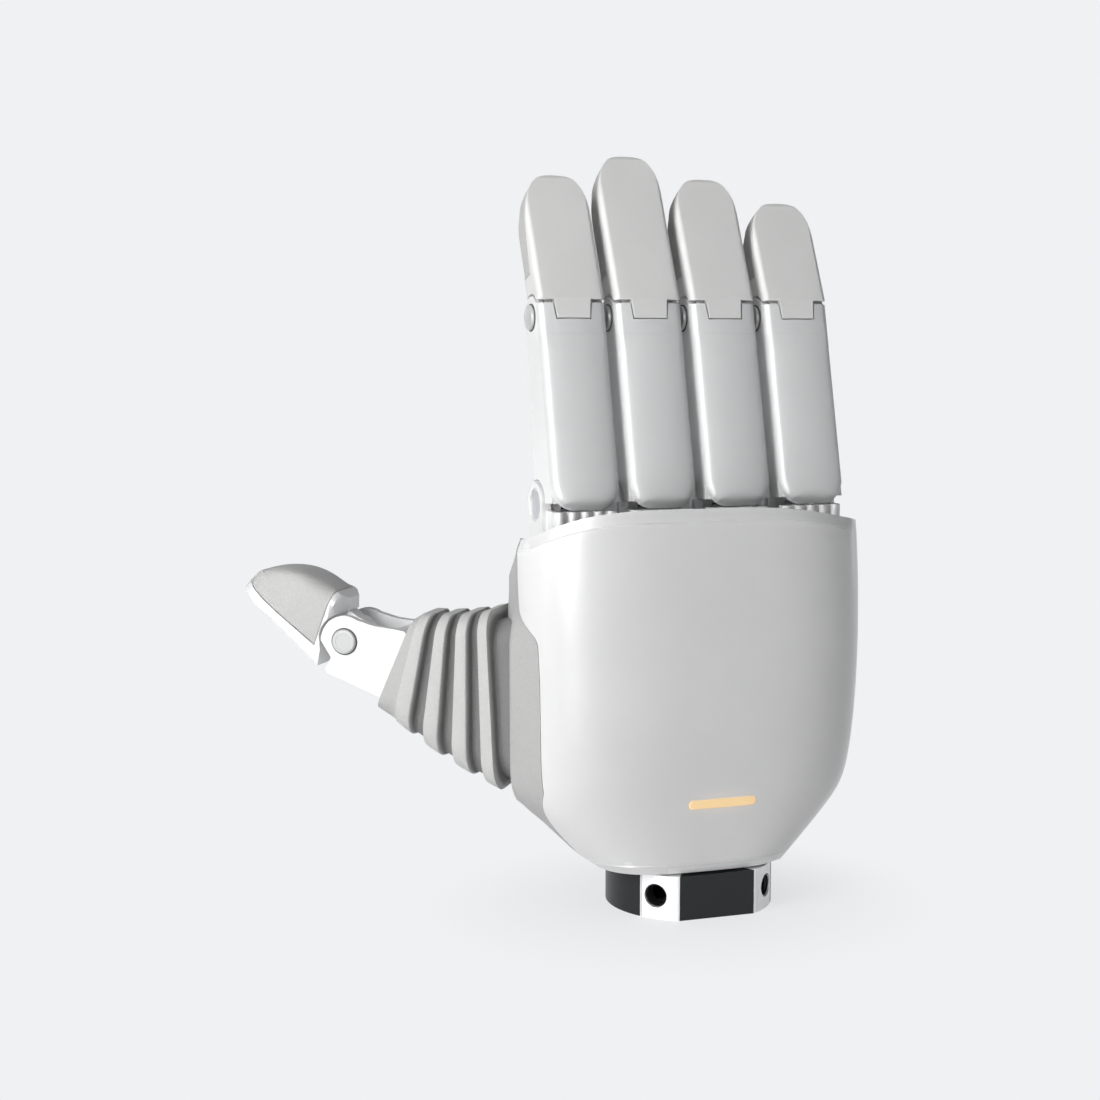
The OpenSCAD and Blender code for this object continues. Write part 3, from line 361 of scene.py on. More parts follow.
# Threads cut in the four radial holes: dark turns that narrow into each hole.
hole_black = metal("hole_black", (0.012, 0.012, 0.013), 0.35, metallic=0.6)
threads = bmesh.new()
for quarter in range(4):
    profile = []
    for turn in range(9):
        depth = 0.0206 - turn * 0.0005
        profile.append(threads.verts.new((depth, 0, 0.00285 if turn % 2 else 0.0025)))
    for a, b in zip(profile, profile[1:]):
        threads.edges.new((a, b))
    geom = profile + [e for v in profile for e in v.link_edges]
    made = bmesh.ops.spin(threads, geom=list(set(geom)), cent=(0, 0, 0), axis=(1, 0, 0), dvec=(0, 0, 0),
                          angle=2 * math.pi, steps=40, use_merge=True, use_duplicate=False)
    ring = [v for v in threads.verts if v.index == -1 or not v.tag]
    for v in ring:
        v.tag = True
    bmesh.ops.rotate(threads, verts=ring, cent=(0, 0, 0),
                     matrix=Matrix.Rotation(math.radians(45 + 90 * quarter), 3, "Z"))
    bmesh.ops.translate(threads, verts=ring, vec=(0, 0, 0.0058))
bmesh.ops.remove_doubles(threads, verts=threads.verts, dist=0.000002)
bmesh.ops.recalc_face_normals(threads, faces=threads.faces)
bmesh.ops.reverse_faces(threads, faces=threads.faces)
piece_of(threads, "hole_threads", "palm", hole_black, smooth=20)


# ---------------------------------------------------------------------------
# Back shell of the palm: one thin white moulding, gloss painted, with a flat
# band round its upper and lower rims. It clips over the frame.
def ramp(u, s):
    return (u + math.sqrt(u * u + s * s)) / 2


def clamp(u):
    return min(1.0, max(0.0, u))


def spow(v, p):
    return math.copysign(abs(v) ** p, v)


def palm_half(t, z):
    """Half width and half depth of the palm on the side that angle t faces, in mm."""
    if math.cos(t) < 0:
        w = 46 - 1.05 * ramp(29 - z, 5) + 1.7 * clamp(-math.sin(t) / 0.15) * (ramp(z - 62, 8) - ramp(z - 82, 8)) / 20
    else:
        w = 43.5 - 0.88 * ramp(29 - z, 5) - 1.6 * ((z - 68) / 32) ** 2
    d = 21.5 - 0.1 * ramp(45 - z, 12) if math.sin(t) < 0 else 19 + 0.04 * ramp(40 - z, 10)
    return w, d


def palm_surface(t, f, inset=0.0):
    """Point of the palm's outer skin at angle t and share f of its height, in mm."""
    def section(z, d):
        w, h = palm_half(t, z)
        if math.sin(t) < 0:
            power = 0.72
        else:
            power = 0.5 + (0.0131 * (ramp(z - 68, 2) - ramp(z - 79, 2)) if math.cos(t) < 0 else 0)
        return (w - d) * spow(math.cos(t), 0.58), (h - d) * spow(math.sin(t), power)
    x, y = section(70, inset)
    low = 100.7 - 7 * (x / 46) ** 2 - 8 * clamp((y + 2) / 10)
    high = 101.1 - (7.4 * (-x / 46) ** 5 if x < 0 else 6.5 * (x / 46) ** 2.5)
    top = low + (high - low) * clamp((-2 - y) / 6)
    z = 11.5 + f * (top - 11.5)
    band = 1.1 * clamp((f - 0.965) / 0.035) + 0.8 * clamp((0.028 - f) / 0.028)
    band += 0.14 * (clamp(1 - abs(f - 0.9655) / 0.002) + clamp(1 - abs(f - 0.0285) / 0.002))
    x, y = section(z, inset + band * (1 - 0.95 * clamp((x - 34) / 4)))
    return Vector((x, y, z))


def parting(f):
    """Angle at which the back and palm shells part, at share f of the height."""
    y = -11.5 + 6 * (1 - math.cos(math.radians(90 * clamp((f - 0.68) / 0.12))) ** 2) \
        + 9 * (1 - clamp((f - 0.05) / 0.2))
    return math.asin((-y / 21.5) ** (1 / 0.72))


# Shares of the palm's height that get a row of the grid, close together at the two grooves
rows = ([0, 0.006, 0.02, 0.0265, 0.0285, 0.0305, 0.045] + [0.06 + 0.01375 * k for k in range(65)]
        + [0.95, 0.9635, 0.9655, 0.9675, 0.985, 1.0])


def even_turns(first, last, count, f=0.5):
    """Angles from first to last, set evenly along the palm's outline."""
    steps = 900
    many = [first + (last - first) * k / steps for k in range(steps + 1)]
    spots = [palm_surface(t, f) for t in many]
    run = [0.0]
    for a, b in zip(spots, spots[1:]):
        run.append(run[-1] + (b - a).length)
    turns, k = [], 0
    for j in range(count + 1):
        goal = run[-1] * j / count
        while k < steps - 1 and run[k + 1] < goal:
            k += 1
        turns.append((k + (goal - run[k]) / max(1e-9, run[k + 1] - run[k])) / steps)
    return turns


def palm_wall(back, columns, shift=None, opening=None, wall=0.0018):
    """A thin wall of the palm: a grid laid on its surface, then thickened inwards."""
    half = math.asin((11.5 / 21.5) ** (1 / 0.72))
    if back:
        share = even_turns(math.pi + half, 2 * math.pi - half, columns)
    else:
        share = even_turns(-half, math.pi + half, columns)
    bm = bmesh.new()
    bmesh.ops.create_grid(bm, x_segments=columns, y_segments=len(rows) - 1, size=1)
    for v in bm.verts:
        k = round((v.co.x + 1) / 2 * columns)
        f = rows[round((v.co.y + 1) / 2 * (len(rows) - 1))]
        gap = 0.0036
        if back:
            first, last = math.pi + parting(f) + gap, 2 * math.pi - parting(f) - gap
        else:
            first, last = -parting(f) + gap, math.pi + parting(f) - gap
        t = first + (last - first) * share[k]
        p = palm_surface(t, f)
        if shift:
            p = shift(p, min((p - palm_surface(end, f)).length for end in (first, last)))
        v.co = p / 1000
    if opening:
        bmesh.ops.delete(bm, geom=[f for f in bm.faces if opening(f.calc_center_median() * 1000)], context="FACES")
    bmesh.ops.recalc_face_normals(bm, faces=bm.faces)
    if sum(f.normal.dot(Vector((f.calc_center_median().x, f.calc_center_median().y, 0))) for f in bm.faces) < 0:
        bmesh.ops.reverse_faces(bm, faces=bm.faces)
    bmesh.ops.solidify(bm, geom=bm.faces[:], thickness=wall)
    rim = [e for e in bm.edges if len(e.link_faces) == 2 and e.calc_face_angle(0) > math.radians(50)]
    bmesh.ops.bevel(bm, geom=rim, offset=0.00022, offset_type="OFFSET", segments=2, profile=0.5,
                    affect="EDGES", clamp_overlap=True, material=-1)
    return bm


def shell_paint():
    """Gloss white paint over plastic, with a painted highlight on its edges and the light bar's glow painted onto it
    round the bar.
    """
    material, shader, mix = new_material("shell_paint")
    place = mix.place()
    flow = mix.noise(0.03, 3.0, 0.5, place)
    peel = mix.noise(0.0011, 2.0, 0.5, place)
    rubbed = mix.noise(0.012, 5.0, 0.65, place).step(0.52, 0.75)
    edge = mix.node("NewGeometry", {}, out="Pointiness").step(0.51, 0.56)
    # Painted glow: amber emission painted on the shell round the light bar, standing in for its light falling there.
    away = mix.node("VectorMath", {0: place, 1: (0.00075, -0.0199, 0.029)}, operation="SUBTRACT")
    away = mix.node("VectorMath", {0: away, 1: (0.5, 1.0, 1.35)}, operation="MULTIPLY")
    glow = mix.node("VectorMath", {0: away}, out="Value", operation="LENGTH").step(0.0062, 0.0008)
    base = mix.tint(flow.step(0.35, 0.65), (0.715, 0.713, 0.712), (0.74, 0.738, 0.737))
    base = mix.tint(rubbed * 0.4, base, (0.705, 0.70, 0.698))
    # Painted highlight: the edges, found by pointiness, are tinted lighter.
    base = mix.tint(edge * 0.6, base, (0.86, 0.86, 0.86))
    feed(shader, Base_Color=base, Roughness=0.3 + (peel - 0.5) * 0.05 + rubbed * 0.05, IOR=1.5,
         Coat_Weight=0.35, Coat_Roughness=0.16, Emission_Strength=0.07,
         Emission_Color=mix.tint(glow, (0, 0, 0), (1.0, 0.55, 0.2)),
         Normal=mix.bump(peel, 0.000005, mix.bump(flow, 0.00005)))
    return material


back = piece_of(palm_wall(True, 120), "back_cover_shell", "palm", shell_paint(), smooth=11)
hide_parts("back_shell")


# ---------------------------------------------------------------------------
# Light bar: a frosted diffuser with round ends, lit amber from behind. It
# sits low on the back shell and stands a hair above it.
def light_glow():
    material, shader, mix = new_material("light_glow")
    place = mix.place()
    x = mix.maths("ABSOLUTE", mix.node("SeparateXYZ", {"Vector": place}, out="X") - 0.00075)
    spots = mix.noise(0.0016, 2.0, 0.5, place)
    end = x.step(0.0085, 0.006)
    lit = mix.tint(end, (0.98, 0.62, 0.27), (1.0, 0.70, 0.34))
    lit = mix.tint(spots.step(0.3, 0.7) * 0.3, lit, (1.0, 0.76, 0.42))
    feed(shader, Base_Color=(0.72, 0.52, 0.28, 1), Roughness=0.45 + (spots - 0.5) * 0.1, Emission_Strength=0.36,
         Emission_Color=lit, Normal=mix.bump(spots, 0.00001))
    return material


bar = bmesh.new()
bmesh.ops.create_circle(bar, cap_ends=True, segments=48, radius=0.0012)
for v in bar.verts:
    v.co.x += math.copysign(0.0077, v.co.x) if abs(v.co.x) > 1e-6 else 0
front_of_bar = bmesh.ops.extrude_face_region(bar, geom=bar.faces[:])
front_verts = [v for v in front_of_bar["geom"] if isinstance(v, bmesh.types.BMVert)]
bmesh.ops.translate(bar, verts=front_verts, vec=(0, 0, 0.0016))
bmesh.ops.recalc_face_normals(bar, faces=bar.faces)
bmesh.ops.bevel(bar, geom=[e for e in bar.edges if e.verts[0].co.z > 0.001 and e.verts[1].co.z > 0.001],
                offset=0.0003, offset_type="OFFSET", segments=3, profile=0.5, affect="EDGES", material=-1)
bmesh.ops.rotate(bar, verts=bar.verts, cent=(0, 0, 0), matrix=Matrix.Rotation(math.radians(90), 3, "X"))
bmesh.ops.translate(bar, verts=bar.verts, vec=(0.00075, palm_surface(1.5 * math.pi, 0.2)[1] / 1000 + 0.00145, 0.029))
light = piece_of(bar, "light_diffuser", "palm", light_glow())
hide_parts("light_bar")

# ---------------------------------------------------------------------------
# Palm shell: the gripping side, moulded in grained elastomer over a stiff core.
# Beside the thumb it swells into a boss that carries the bellows.
root = Vector((-44, 7, 0))
out = Vector((-math.cos(math.radians(35)), math.sin(math.radians(35)), 0))
aside = Vector((-math.sin(math.radians(35)), -math.cos(math.radians(35)), 0))


def boss_edge(p):
    """Distance of a point outside the boss's outline, seen along the thumb, in mm."""
    qx, qy = abs(p.z - 52.5) - 14.5, abs((p - root).dot(aside)) - 3.0
    return math.hypot(max(qx, 0), max(qy, 0)) + min(max(qx, qy), 0) - 10.5


def boss_swell(p, run):
    """Draws the palm's skin out to the boss's flat end, which has a round edge and a sloping foot."""
    a, s = (p - root).dot(out), boss_edge(p)
    if a < -18 or s > 9:
        return p
    goal = -2.6 - 1.6 * clamp((p - root).dot(aside) / 9)
    if s > 0:
        goal -= 1.25 * s
    else:
        goal += 0.6 * math.sqrt(9 - max(0, 3 + s) ** 2)
    goal = a + ramp(goal - a, 1.2)
    hold = clamp(run / 5.5)
    return p + out * (goal - a) * hold * hold * (3 - 2 * hold)


def sleeve_hole(p):
    return (p - root).dot(out) > -18 and boss_edge(p) < -5.2


grip_grain = elastomer("grip_grain", (0.435, 0.435, 0.43), 0.00036, 0.00005)


def drilled(bm, cutters):
    """The mesh less the cutters; both are used up."""
    parts = []
    for shape in (bm, cutters):
        data = bpy.data.meshes.new("drill")
        shape.to_mesh(data)
        shape.free()
        parts.append(bpy.data.objects.new("drill", data))
        bpy.context.collection.objects.link(parts[-1])
    cut = parts[0].modifiers.new("cut", "BOOLEAN")
    cut.operation, cut.solver, cut.object = "DIFFERENCE", "EXACT", parts[1]
    bpy.context.view_layer.update()
    data = bpy.data.meshes.new_from_object(parts[0].evaluated_get(bpy.context.evaluated_depsgraph_get()))
    result = bmesh.new()
    result.from_mesh(data)
    for part in parts:
        bpy.data.meshes.remove(part.data)
    bpy.data.meshes.remove(data)
    return result


# The heads of the four screws sit in counterbores through the skin.
screw_holes = bmesh.new()
bore_r = 0.00205
for x in (-0.024, 0.024):
    for z in (0.0255, 0.0735):
        bmesh.ops.create_cone(screw_holes, cap_ends=True, segments=40, radius1=bore_r, radius2=bore_r, depth=0.01,
                              matrix=Matrix.Translation((x, 0.0175, z)) @ Matrix.Rotation(math.radians(90), 4, "X"))
grip = piece_of(drilled(palm_wall(False, 190, boss_swell, sleeve_hole), screw_holes), "palm_grip_shell", "palm",
                grip_grain, smooth=46)
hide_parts("palm_shell")

# ---------------------------------------------------------------------------
# Inside the palm: a black frame, the motors with their drive rods, the board,
# the shell's screws and the pins, mostly hidden but real.
frame_black = pale_plastic("frame_black", (0.03, 0.031, 0.033), 0.42, texture=0.00001, grain=0.0009, tone=0.2)
motor_steel = metal("motor_steel", (0.55, 0.56, 0.58), 0.3)
pin_steel = metal("pin_steel", (0.72, 0.73, 0.75), 0.2)
rod_steel = metal("rod_steel", (0.62, 0.63, 0.65), 0.24)


def board_lacquer():
    material, shader, mix = new_material("board_lacquer")
    place = mix.place()
    traces = mix.node("TexVoronoi", {"Vector": place, "Scale": 900.0, "Randomness": 0.3}, out="Distance",
                      distance="CHEBYCHEV").step(0.3, 0.36)
    weave = mix.noise(0.0004, 2.0, 0.5, place)
    feed(shader, Base_Color=mix.tint(traces, (0.012, 0.07, 0.035), (0.03, 0.14, 0.07)),
         Roughness=0.35 + weave * 0.1, Coat_Weight=0.5, Normal=mix.bump(traces, 0.00003))
    return material


green_board = board_lacquer()
for name, material in (("palm_frame", frame_black), ("finger_actuators", motor_steel), ("thumb_actuator", motor_steel),
                       ("control_board", green_board), ("contact_plate", green_board), ("shell_screws", pin_steel),
                       ("swing_pins", pin_steel), ("thumb_pivot_pin", pin_steel)):
    give(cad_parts[name], material)


# ---------------------------------------------------------------------------
# Fingers, from the index to the little finger.
fingers = ("index", "middle", "ring", "little")
finger_x = (-0.030, -0.010, 0.010, 0.030)
knuckle_bodies = ("index_knuckle", "palm", "ring_knuckle", "little_knuckle")
phalanx_frames = []
for x in finger_x:
    phalanx_frames.append(Matrix.Translation((x, 0.005, 0.1008)) @ Matrix.Rotation(math.radians(-14), 4, "X"))
joint_spot = Matrix.Translation((0, -0.0065, 0.0454))
tip_frames = [m @ joint_spot @ Matrix.Rotation(math.radians(-11.5), 4, "X") for m in phalanx_frames]

# Knuckles: white moulded forks with two ears, on a foot that swings in the palm.
knuckle_white = pale_plastic("knuckle_white", (0.84, 0.84, 0.84), 0.34, coat=0.15)
for finger, body in zip(fingers, knuckle_bodies):
    moulded(finger + "_knuckle_fork", finger + "_knuckle", body, knuckle_white, edge=0.0009, steps=4)
    give(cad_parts[finger + "_axle"], pin_steel)
    give(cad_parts[finger + "_drive_rod"], rod_steel)
    give(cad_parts[finger + "_coupler"], rod_steel)

# Phalanx cheeks: white side plates joined by a web, on the knuckle's axle.
for finger in fingers:
    moulded(finger + "_cheeks", finger + "_phalanx", finger + "_phalanx", knuckle_white, edge=0.0003)


# Back covers: cool grey mouldings, crowned, with round edges and a notch for the
# fingertip's tongue. The crown is smoothed, and above a faint line the cover
# falls away slightly.
def with_break_line(place):
    """Cuts the cover finely, relaxes its crown below the break line and tips it back above."""
    def shape(bm):
        inverse = place.inverted()
        bm.transform(inverse)
        for z in (0.0394, 0.03975, 0.0401):
            bmesh.ops.bisect_plane(bm, geom=bm.verts[:] + bm.edges[:] + bm.faces[:], dist=0.000002,
                                   plane_co=(0, 0, z), plane_no=(0, 0, 1))
        for plane_no, spots in (((1, 0, 0), range(-8, 9, 2)), ((0, 0, 1), range(-3, 38))):
            for spot in spots:
                bmesh.ops.bisect_plane(bm, geom=bm.verts[:] + bm.edges[:] + bm.faces[:], dist=0.000002,
                                       plane_co=Vector(plane_no) * (spot / 1000), plane_no=plane_no)
        soft = [v for v in bm.verts if v.co.y < -0.0121 and v.co.z < 0.036]
        for _ in range(8):
            bmesh.ops.smooth_vert(bm, verts=soft, factor=0.5, use_axis_x=True, use_axis_y=True, use_axis_z=True)
        for v in bm.verts:
            v.co.z -= 0.0006 * clamp((0.002 - v.co.z) / 0.0048)
            if v.co.z > 0.0396 and v.co.y < -0.0125:
                v.co.y += 0.00012 + 0.03 * (v.co.z - 0.03975)
        bm.transform(place)
    return shape


cover_grey = pale_plastic("cover_grey", (0.70, 0.707, 0.708), 0.42, coat=0.08, texture=0.000012, grain=0.00042)
for k, finger in enumerate(fingers):
    moulded(finger + "_back_cover", finger + "_cover", finger + "_phalanx", cover_grey, edge=0.00042,
            steps=3, sharp=30, shape=with_break_line(phalanx_frames[k]))


# Grip pads of the phalanges and fingertips: grained elastomer, pressed in place.
def crowned(piece, place, relaxed, turns):
    """Remeshes a pad finely and relaxes its crown, so that no crease is left between top and flanks."""
    grid = piece.modifiers.new("grid", "REMESH")
    grid.mode = "VOXEL"
    grid.voxel_size = 0.00034
    bpy.context.view_layer.update()
    data = bpy.data.meshes.new_from_object(piece.evaluated_get(bpy.context.evaluated_depsgraph_get()))
    piece.modifiers.clear()
    piece.data = data
    bm = bmesh.new()
    bm.from_mesh(data)
    inverse = place.inverted()
    spots = [inverse @ v.co for v in bm.verts]
    low = Vector([min(q[axis] for q in spots) for axis in range(3)])
    high = Vector([max(q[axis] for q in spots) for axis in range(3)])
    crown = [v for v, q in zip(bm.verts, spots) if relaxed(q, low, high)]
    for _ in range(turns):
        bmesh.ops.smooth_vert(bm, verts=crown, factor=0.5, use_axis_x=True, use_axis_y=True, use_axis_z=True)
    bmesh.ops.smooth_vert(bm, verts=bm.verts, factor=0.5, use_axis_x=True, use_axis_y=True, use_axis_z=True)
    for f in bm.faces:
        f.smooth = True
    bm.to_mesh(data)
    bm.free()
    give(piece, pad_grain)


def filled(place):
    """Fills the pad's pocket in front of the shell's core, which the shortest finger's pad is too thin for."""
    def shape(bm):
        for tall, near, far in ((0.0024, 0.0135, 0.0185), (0.0019, 0.0185, 0.0196)):
            centre = Matrix.Translation((0, tall - 0.0008, (near + far) / 2))
            size = Matrix.Diagonal((0.0108, 0.0016, far - near, 1))
            bmesh.ops.create_cube(bm, size=1, matrix=place @ centre @ size)
    return shape


def tip_crown(q, low, high):
    """True on the part of a fingertip's pad that is relaxed: its outer half, clear of its foot."""
    return q.y > low.y + 0.5 * (high.y - low.y) and q.z > low.z + 0.001


pad_grain = elastomer("pad_grain", (0.51, 0.508, 0.50), 0.0004, 0.00006, rough=0.68)
for k, finger in enumerate(fingers):
    moulded(finger + "_grip_pad", finger + "_phalanx_pad", finger + "_phalanx", pad_grain, edge=0.0003)
    crowned(moulded(finger + "_tip_grip", finger + "_tip_pad", finger + "_tip", pad_grain, edge=0,
                    shape=filled(tip_frames[k])), tip_frames[k], tip_crown, 60)

# Fingertip shells: white-grey satin backs with a thin rounded rim and a tongue.
tip_satin = pale_plastic("tip_satin", (0.775, 0.768, 0.76), 0.36, coat=0.15)


for k, finger in enumerate(fingers):
    moulded(finger + "_tip_back", finger + "_tip_shell", finger + "_tip", tip_satin, edge=0.0005, steps=3,
            sharp=24)

# Joint pins: white caps with a turned face, one pressed into each side.
cap_white = pale_plastic("cap_white", (0.56, 0.562, 0.56), 0.35, texture=0.000008)


def turned(profile, cent, axis, start, steps=48):
    """A turned piece: the profile (distance along the axis, radius) spun about it."""
    bm = bmesh.new()
    line = Vector(axis).normalized()
    side = Vector(start).normalized()
    verts = [bm.verts.new(Vector(cent) + line * a + side * r) for a, r in profile]
    edges = [bm.edges.new(pair) for pair in zip(verts, verts[1:])]
    bmesh.ops.spin(bm, geom=verts + edges, cent=cent, axis=line, dvec=(0, 0, 0), angle=2 * math.pi, steps=steps,
                   use_merge=True, use_duplicate=False)
    bmesh.ops.remove_doubles(bm, verts=bm.verts, dist=0.000003)
    bmesh.ops.recalc_face_normals(bm, faces=bm.faces)
    return bm


def add_turned(whole, *turning):
    """Adds to a bmesh what turned makes of the same values."""
    part = turned(*turning)
    data = bpy.data.meshes.new("turned")
    part.to_mesh(data)
    part.free()
    whole.from_mesh(data)
    bpy.data.meshes.remove(data)


# Painted shade: a thin dark ring under each pin cap, put where the gap round the cap lies in shadow.
cap_shadow_ring = elastomer("cap_shadow_ring", (0.06, 0.06, 0.06), 0.0004, 0.00002)
ring_profile = ((0, 0.0), (0, 0.0034), (0.00018, 0.0034), (0.00026, 0.0033), (0.00026, 0.0))
cap_profile = ((0, 0.0), (0, 0.0031), (0.0004, 0.0031), (0.0007, 0.003), (0.00088, 0.0029), (0.00095, 0.0027),
               (0.00095, 0.0024), (0.00085, 0.0022), (0.00085, 0.0))
stub_profile = ((0, 0.0), (0, 0.00125), (0.0068, 0.00125), (0.0068, 0.0))
for k, finger in enumerate(fingers):
    both_caps = bmesh.new()
    for side in (-1, 1):
        axis = Vector((side, 0, 0))
        for profile, start in ((cap_profile, 0.00865), (stub_profile, 0.0018)):
            spot_mm = phalanx_frames[k] @ Vector((side * start, -0.0065, 0.0454))
            add_turned(both_caps, profile, spot_mm, axis, (0, 0, 1))
    # The dark rings round the caps are painted shade for the shadowed gap.
    rings = bmesh.new()
    for side in (-1, 1):
        spot_mm = phalanx_frames[k] @ Vector((side * 0.00865, -0.0065, 0.0454))
        add_turned(rings, ring_profile, spot_mm, Vector((side, 0, 0)), (0, 0, 1))
    piece_of(rings, finger + "_pin_rings", finger + "_phalanx", cap_shadow_ring)
    caps = piece_of(both_caps, finger + "_pin_caps", finger + "_phalanx", cap_white)
    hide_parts(finger + "_pin")

# ---------------------------------------------------------------------------
# Thumb: a steel carrier in the palm, a white link, and a tip with its own back
# shell and grip pad. The link's pin has a turned cap on each side.
thumb_white = pale_plastic("thumb_white", (0.82, 0.82, 0.825), 0.3, coat=0.2)
for name, material in (("thumb_carrier", motor_steel), ("thumb_base_pin", pin_steel)):
    give(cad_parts[name], material)
thumb_plane = Matrix.Translation((-0.044, 0.007, 0)) @ Matrix.Rotation(math.radians(145), 4, "Z")
moulded("thumb_link_fork", "thumb_link", "thumb_link", thumb_white, edge=0.0005, steps=3, sharp=30)
tip_place = thumb_plane @ Matrix.Translation((0.041707, 0, 0.06634)) @ Matrix.Rotation(math.radians(-42), 4, "Y")
rim_foot, rim_way = Vector((0.0056, 0, -0.006)), Vector((0.311, 0, 0.950))


def scooped(bm):
    """Hollows the shell's cheeks behind the thin rim that holds the pad."""
    bm.transform(tip_place.inverted())
    behind = Vector((-rim_way.z, 0, rim_way.x))
    for d in (0.0007, 0.0016, 0.003):
        bmesh.ops.bisect_plane(bm, geom=bm.verts[:] + bm.edges[:] + bm.faces[:], dist=0.000002,
                               plane_co=rim_foot + behind * d, plane_no=behind)
    for v in bm.verts:
        d, up = (v.co - rim_foot).dot(behind), v.co.z
        v.co.y *= 1 - 0.6 * clamp((d - 0.0007) / 0.0025) * clamp((up + 0.001) / 0.004)
    bm.transform(tip_place)


moulded("thumb_tip_back", "thumb_tip_shell", "thumb_tip", thumb_white, edge=0.00045, steps=3, sharp=26,
        shape=scooped)


def thumb_crown(q, low, high):
    """True on the part of the thumb's pad that is relaxed: above its rim, whose foot and direction are measured."""
    q = q - rim_foot
    return q.z > 0.001 + 0.058 * q.x and q.dot(Vector((rim_way.z, 0, -rim_way.x))) > 0.0009


crowned(moulded("thumb_tip_grip", "thumb_tip_pad", "thumb_tip", pad_grain, edge=0.0003, steps=2, sharp=30),
        tip_place, thumb_crown, 220)

# Caps of the thumb's joint pin, on both sides of the link, with dark rings round them as painted shade.
link_length, link_lean = 0.026, math.radians(22)
link_spot = (0.0176 + link_length * math.cos(link_lean), 0.0566 + link_length * math.sin(link_lean))
cap_pair, rings = bmesh.new(), bmesh.new()
for side in (-1, 1):
    spot_at = thumb_plane @ Vector((link_spot[0], side * 0.0085, link_spot[1]))
    face_out = thumb_plane.to_3x3() @ Vector((0, side, 0))
    for profile in (((0, 0.0), (0, 0.0031), (0.0004, 0.0031), (0.0007, 0.003), (0.00086, 0.0028), (0.0009, 0.0026),
                     (0.0009, 0.0021), (0.00082, 0.002), (0.00082, 0.0)), ((-0.017, 0), (-0.017, 0.002), (0, 0.002))):
        add_turned(cap_pair, profile, spot_at, face_out, (0, 0, 1))
    add_turned(rings, ring_profile, spot_at, face_out, (0, 0, 1))
piece_of(rings, "thumb_pin_rings", "thumb_link", cap_shadow_ring)
caps = piece_of(cap_pair, "thumb_pin_caps", "thumb_link", cap_white)
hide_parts("thumb_pin")

# ---------------------------------------------------------------------------
# Bellows: a moulded elastomer sleeve with four square-edged folds, from the
# palm's boss to the link's collar. It is cemented at both ends.
# The sleeve's material adds painted shade in its fold hollows to the grain.
sleeve_grain_and_fold_shade = elastomer("sleeve_grain_and_fold_shade", (0.555, 0.555, 0.546), 0.00036, 0.00006, fold_shade=0.8)


fold_count, fold_start, fold_step = 4, 0.03, 0.23


def fold_depth(s):
    """About 0 on a fold's crest, 1 between the folds, and at most 0.3 past the last fold."""
    past = (s - fold_start) / fold_step
    k = min(fold_count - 1, max(0, int(past)))
    q = abs(past - k - 0.5)
    u = clamp((q - 0.235) / 0.11)
    depth = u * u * (3 - 2 * u) + 0.06 * min(1, q / 0.235) ** 4 * (1 - u)
    return min(depth, 0.3) if s > 0.84 else depth


def sleeve_point(s, turn):
    """Point of the sleeve at share s of its length and share turn round its section, in metres."""
    depth = fold_depth(s)
    if s < 0.11:
        depth = 1.0 - clamp((s - 0.086) / 0.02)
    collar = clamp((s - 0.93) / 0.07)
    h = 23.5 - 9.95 * min(s, 0.93) - 1.6 * collar - 0.45 * depth - 2.6 * clamp((0.106 - s) / 0.02)
    w = 12 - 2.3 * s - 3.0 * depth
    top, foot = min(5.6, w - 0.5) - 2.4 * collar, min(7.6, w - 0.5) - 4.0 * collar
    rounds = (top, top, foot, foot)
    straights = (2 * h - top - foot, 2 * (w - top), 2 * h - top - foot, 2 * (w - foot))
    go = turn * (sum(straights) + math.pi * (top + foot))
    spot, angle = Vector((w, -(h - foot))), 0.0
    for straight, r in zip(straights, rounds):
        heading = Vector((-math.sin(angle), math.cos(angle)))
        if go <= straight:
            spot = spot + heading * go
            break
        spot, go = spot + heading * straight, go - straight
        side = Vector((-math.cos(angle), -math.sin(angle)))
        bend = min(go / r, math.pi / 2)
        spot = spot + side * r + Matrix.Rotation(bend, 2) @ (side * -r)
        angle += bend
        if bend < math.pi / 2:
            break
        go -= math.pi / 2 * r
    lean = math.radians(21 * max(s, 0) ** 1.5 - 3.5 + 6 * clamp((s - 0.88) / 0.12))
    return thumb_plane @ (Vector((30.2 * s * (1 - 0.03 * s) - 0.6 - math.sin(lean) * spot.y, spot.x,
                                  52.7 + 3.0 * s + 5.4 * s * s + math.cos(lean) * spot.y)) / 1000), depth


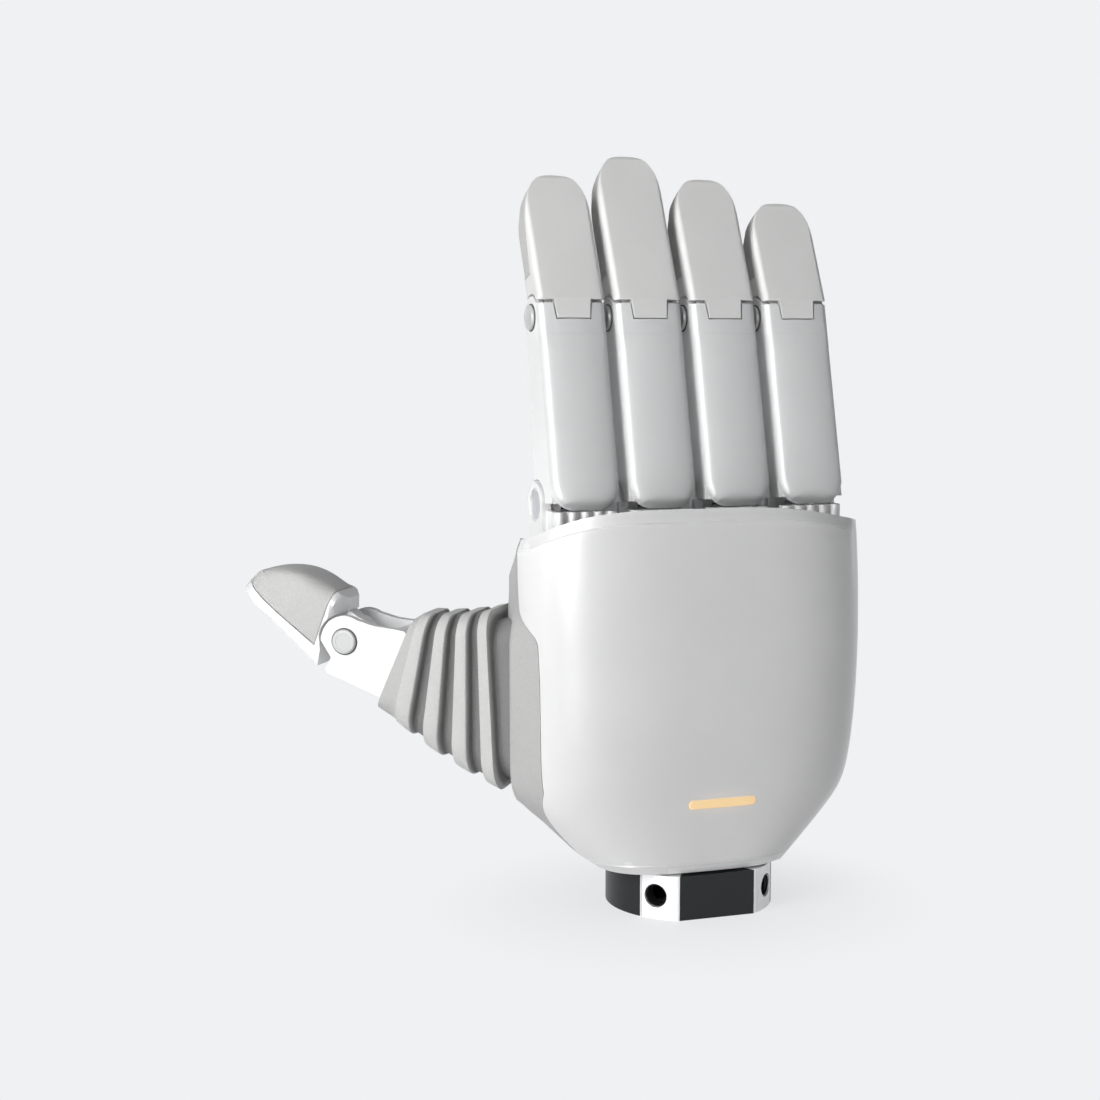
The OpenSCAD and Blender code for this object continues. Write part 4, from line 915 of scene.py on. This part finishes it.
def sleeve(first, last, around=104):
    """The sleeve between two shares of its length; its rows lie closest on the folds' walls."""
    steps = (-0.5, -0.42, -0.36, -0.34, -0.32, -0.3, -0.28, -0.26, -0.24, -0.2, -0.1, 0, 0.1, 0.2, 0.24, 0.26, 0.28,
             0.3, 0.32, 0.34, 0.36, 0.42)
    shares = sorted({-0.09, 0.086, 0.09, 0.094, 0.098, 0.102, 0.106, 0.95, 0.956, 0.97, 0.985, 0.943, first, last}
                    | {round(0.03 + 0.23 * (k + 0.5 + q), 4) for k in range(4) for q in steps})
    shares = [s for s in shares if first <= s <= last and not 0.045 < s < 0.084]
    bm = bmesh.new()
    # Each vertex stores how deep in a fold it lies, which sets the painted shade in the fold hollows.
    fold_shade = bm.verts.layers.float.new("fold_shade")
    loops = []
    for s in shares:
        loop = []
        for k in range(around):
            spot, depth = sleeve_point(s, k / around)
            v = bm.verts.new(spot)
            v[fold_shade] = depth
            loop.append(v)
        loops.append(loop)
    if last == 1.0:
        # The collar closes on the link with a lip.
        middle = sum((v.co for v in loops[-1]), Vector()) / around
        lip = []
        for v in loops[-1]:
            lip.append(bm.verts.new(middle + (v.co - middle) * 0.62))
        loops.append(lip)
    for low, high in zip(loops, loops[1:]):
        for k in range(around):
            bm.faces.new((low[k], low[(k + 1) % around], high[(k + 1) % around], high[k]))
    bmesh.ops.recalc_face_normals(bm, faces=bm.faces)
    centre = sum((v.co for v in bm.verts), Vector()) / len(bm.verts)
    if sum(f.normal.dot(f.calc_center_median() - centre) for f in bm.faces) < 0:
        bmesh.ops.reverse_faces(bm, faces=bm.faces)
    bmesh.ops.solidify(bm, geom=bm.faces[:], thickness=0.0006)
    return bm


root_sleeve = piece_of(sleeve(-0.09, 0.49), "bellows_root_folds", None, sleeve_grain_and_fold_shade, smooth=60)
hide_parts("bellows_root")
neck_sleeve = piece_of(sleeve(0.49, 1.0), "bellows_neck_folds", None, sleeve_grain_and_fold_shade, smooth=60)
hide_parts("bellows_neck")
at = lambda a, z: tuple(thumb_plane @ Vector((a / 1000, 0, z / 1000)))
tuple(at(0.2, 53))
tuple(at(13.4, 53))
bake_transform(root_sleeve)
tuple(at(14.4, 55))
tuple(at(26.5, 58))
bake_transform(neck_sleeve)
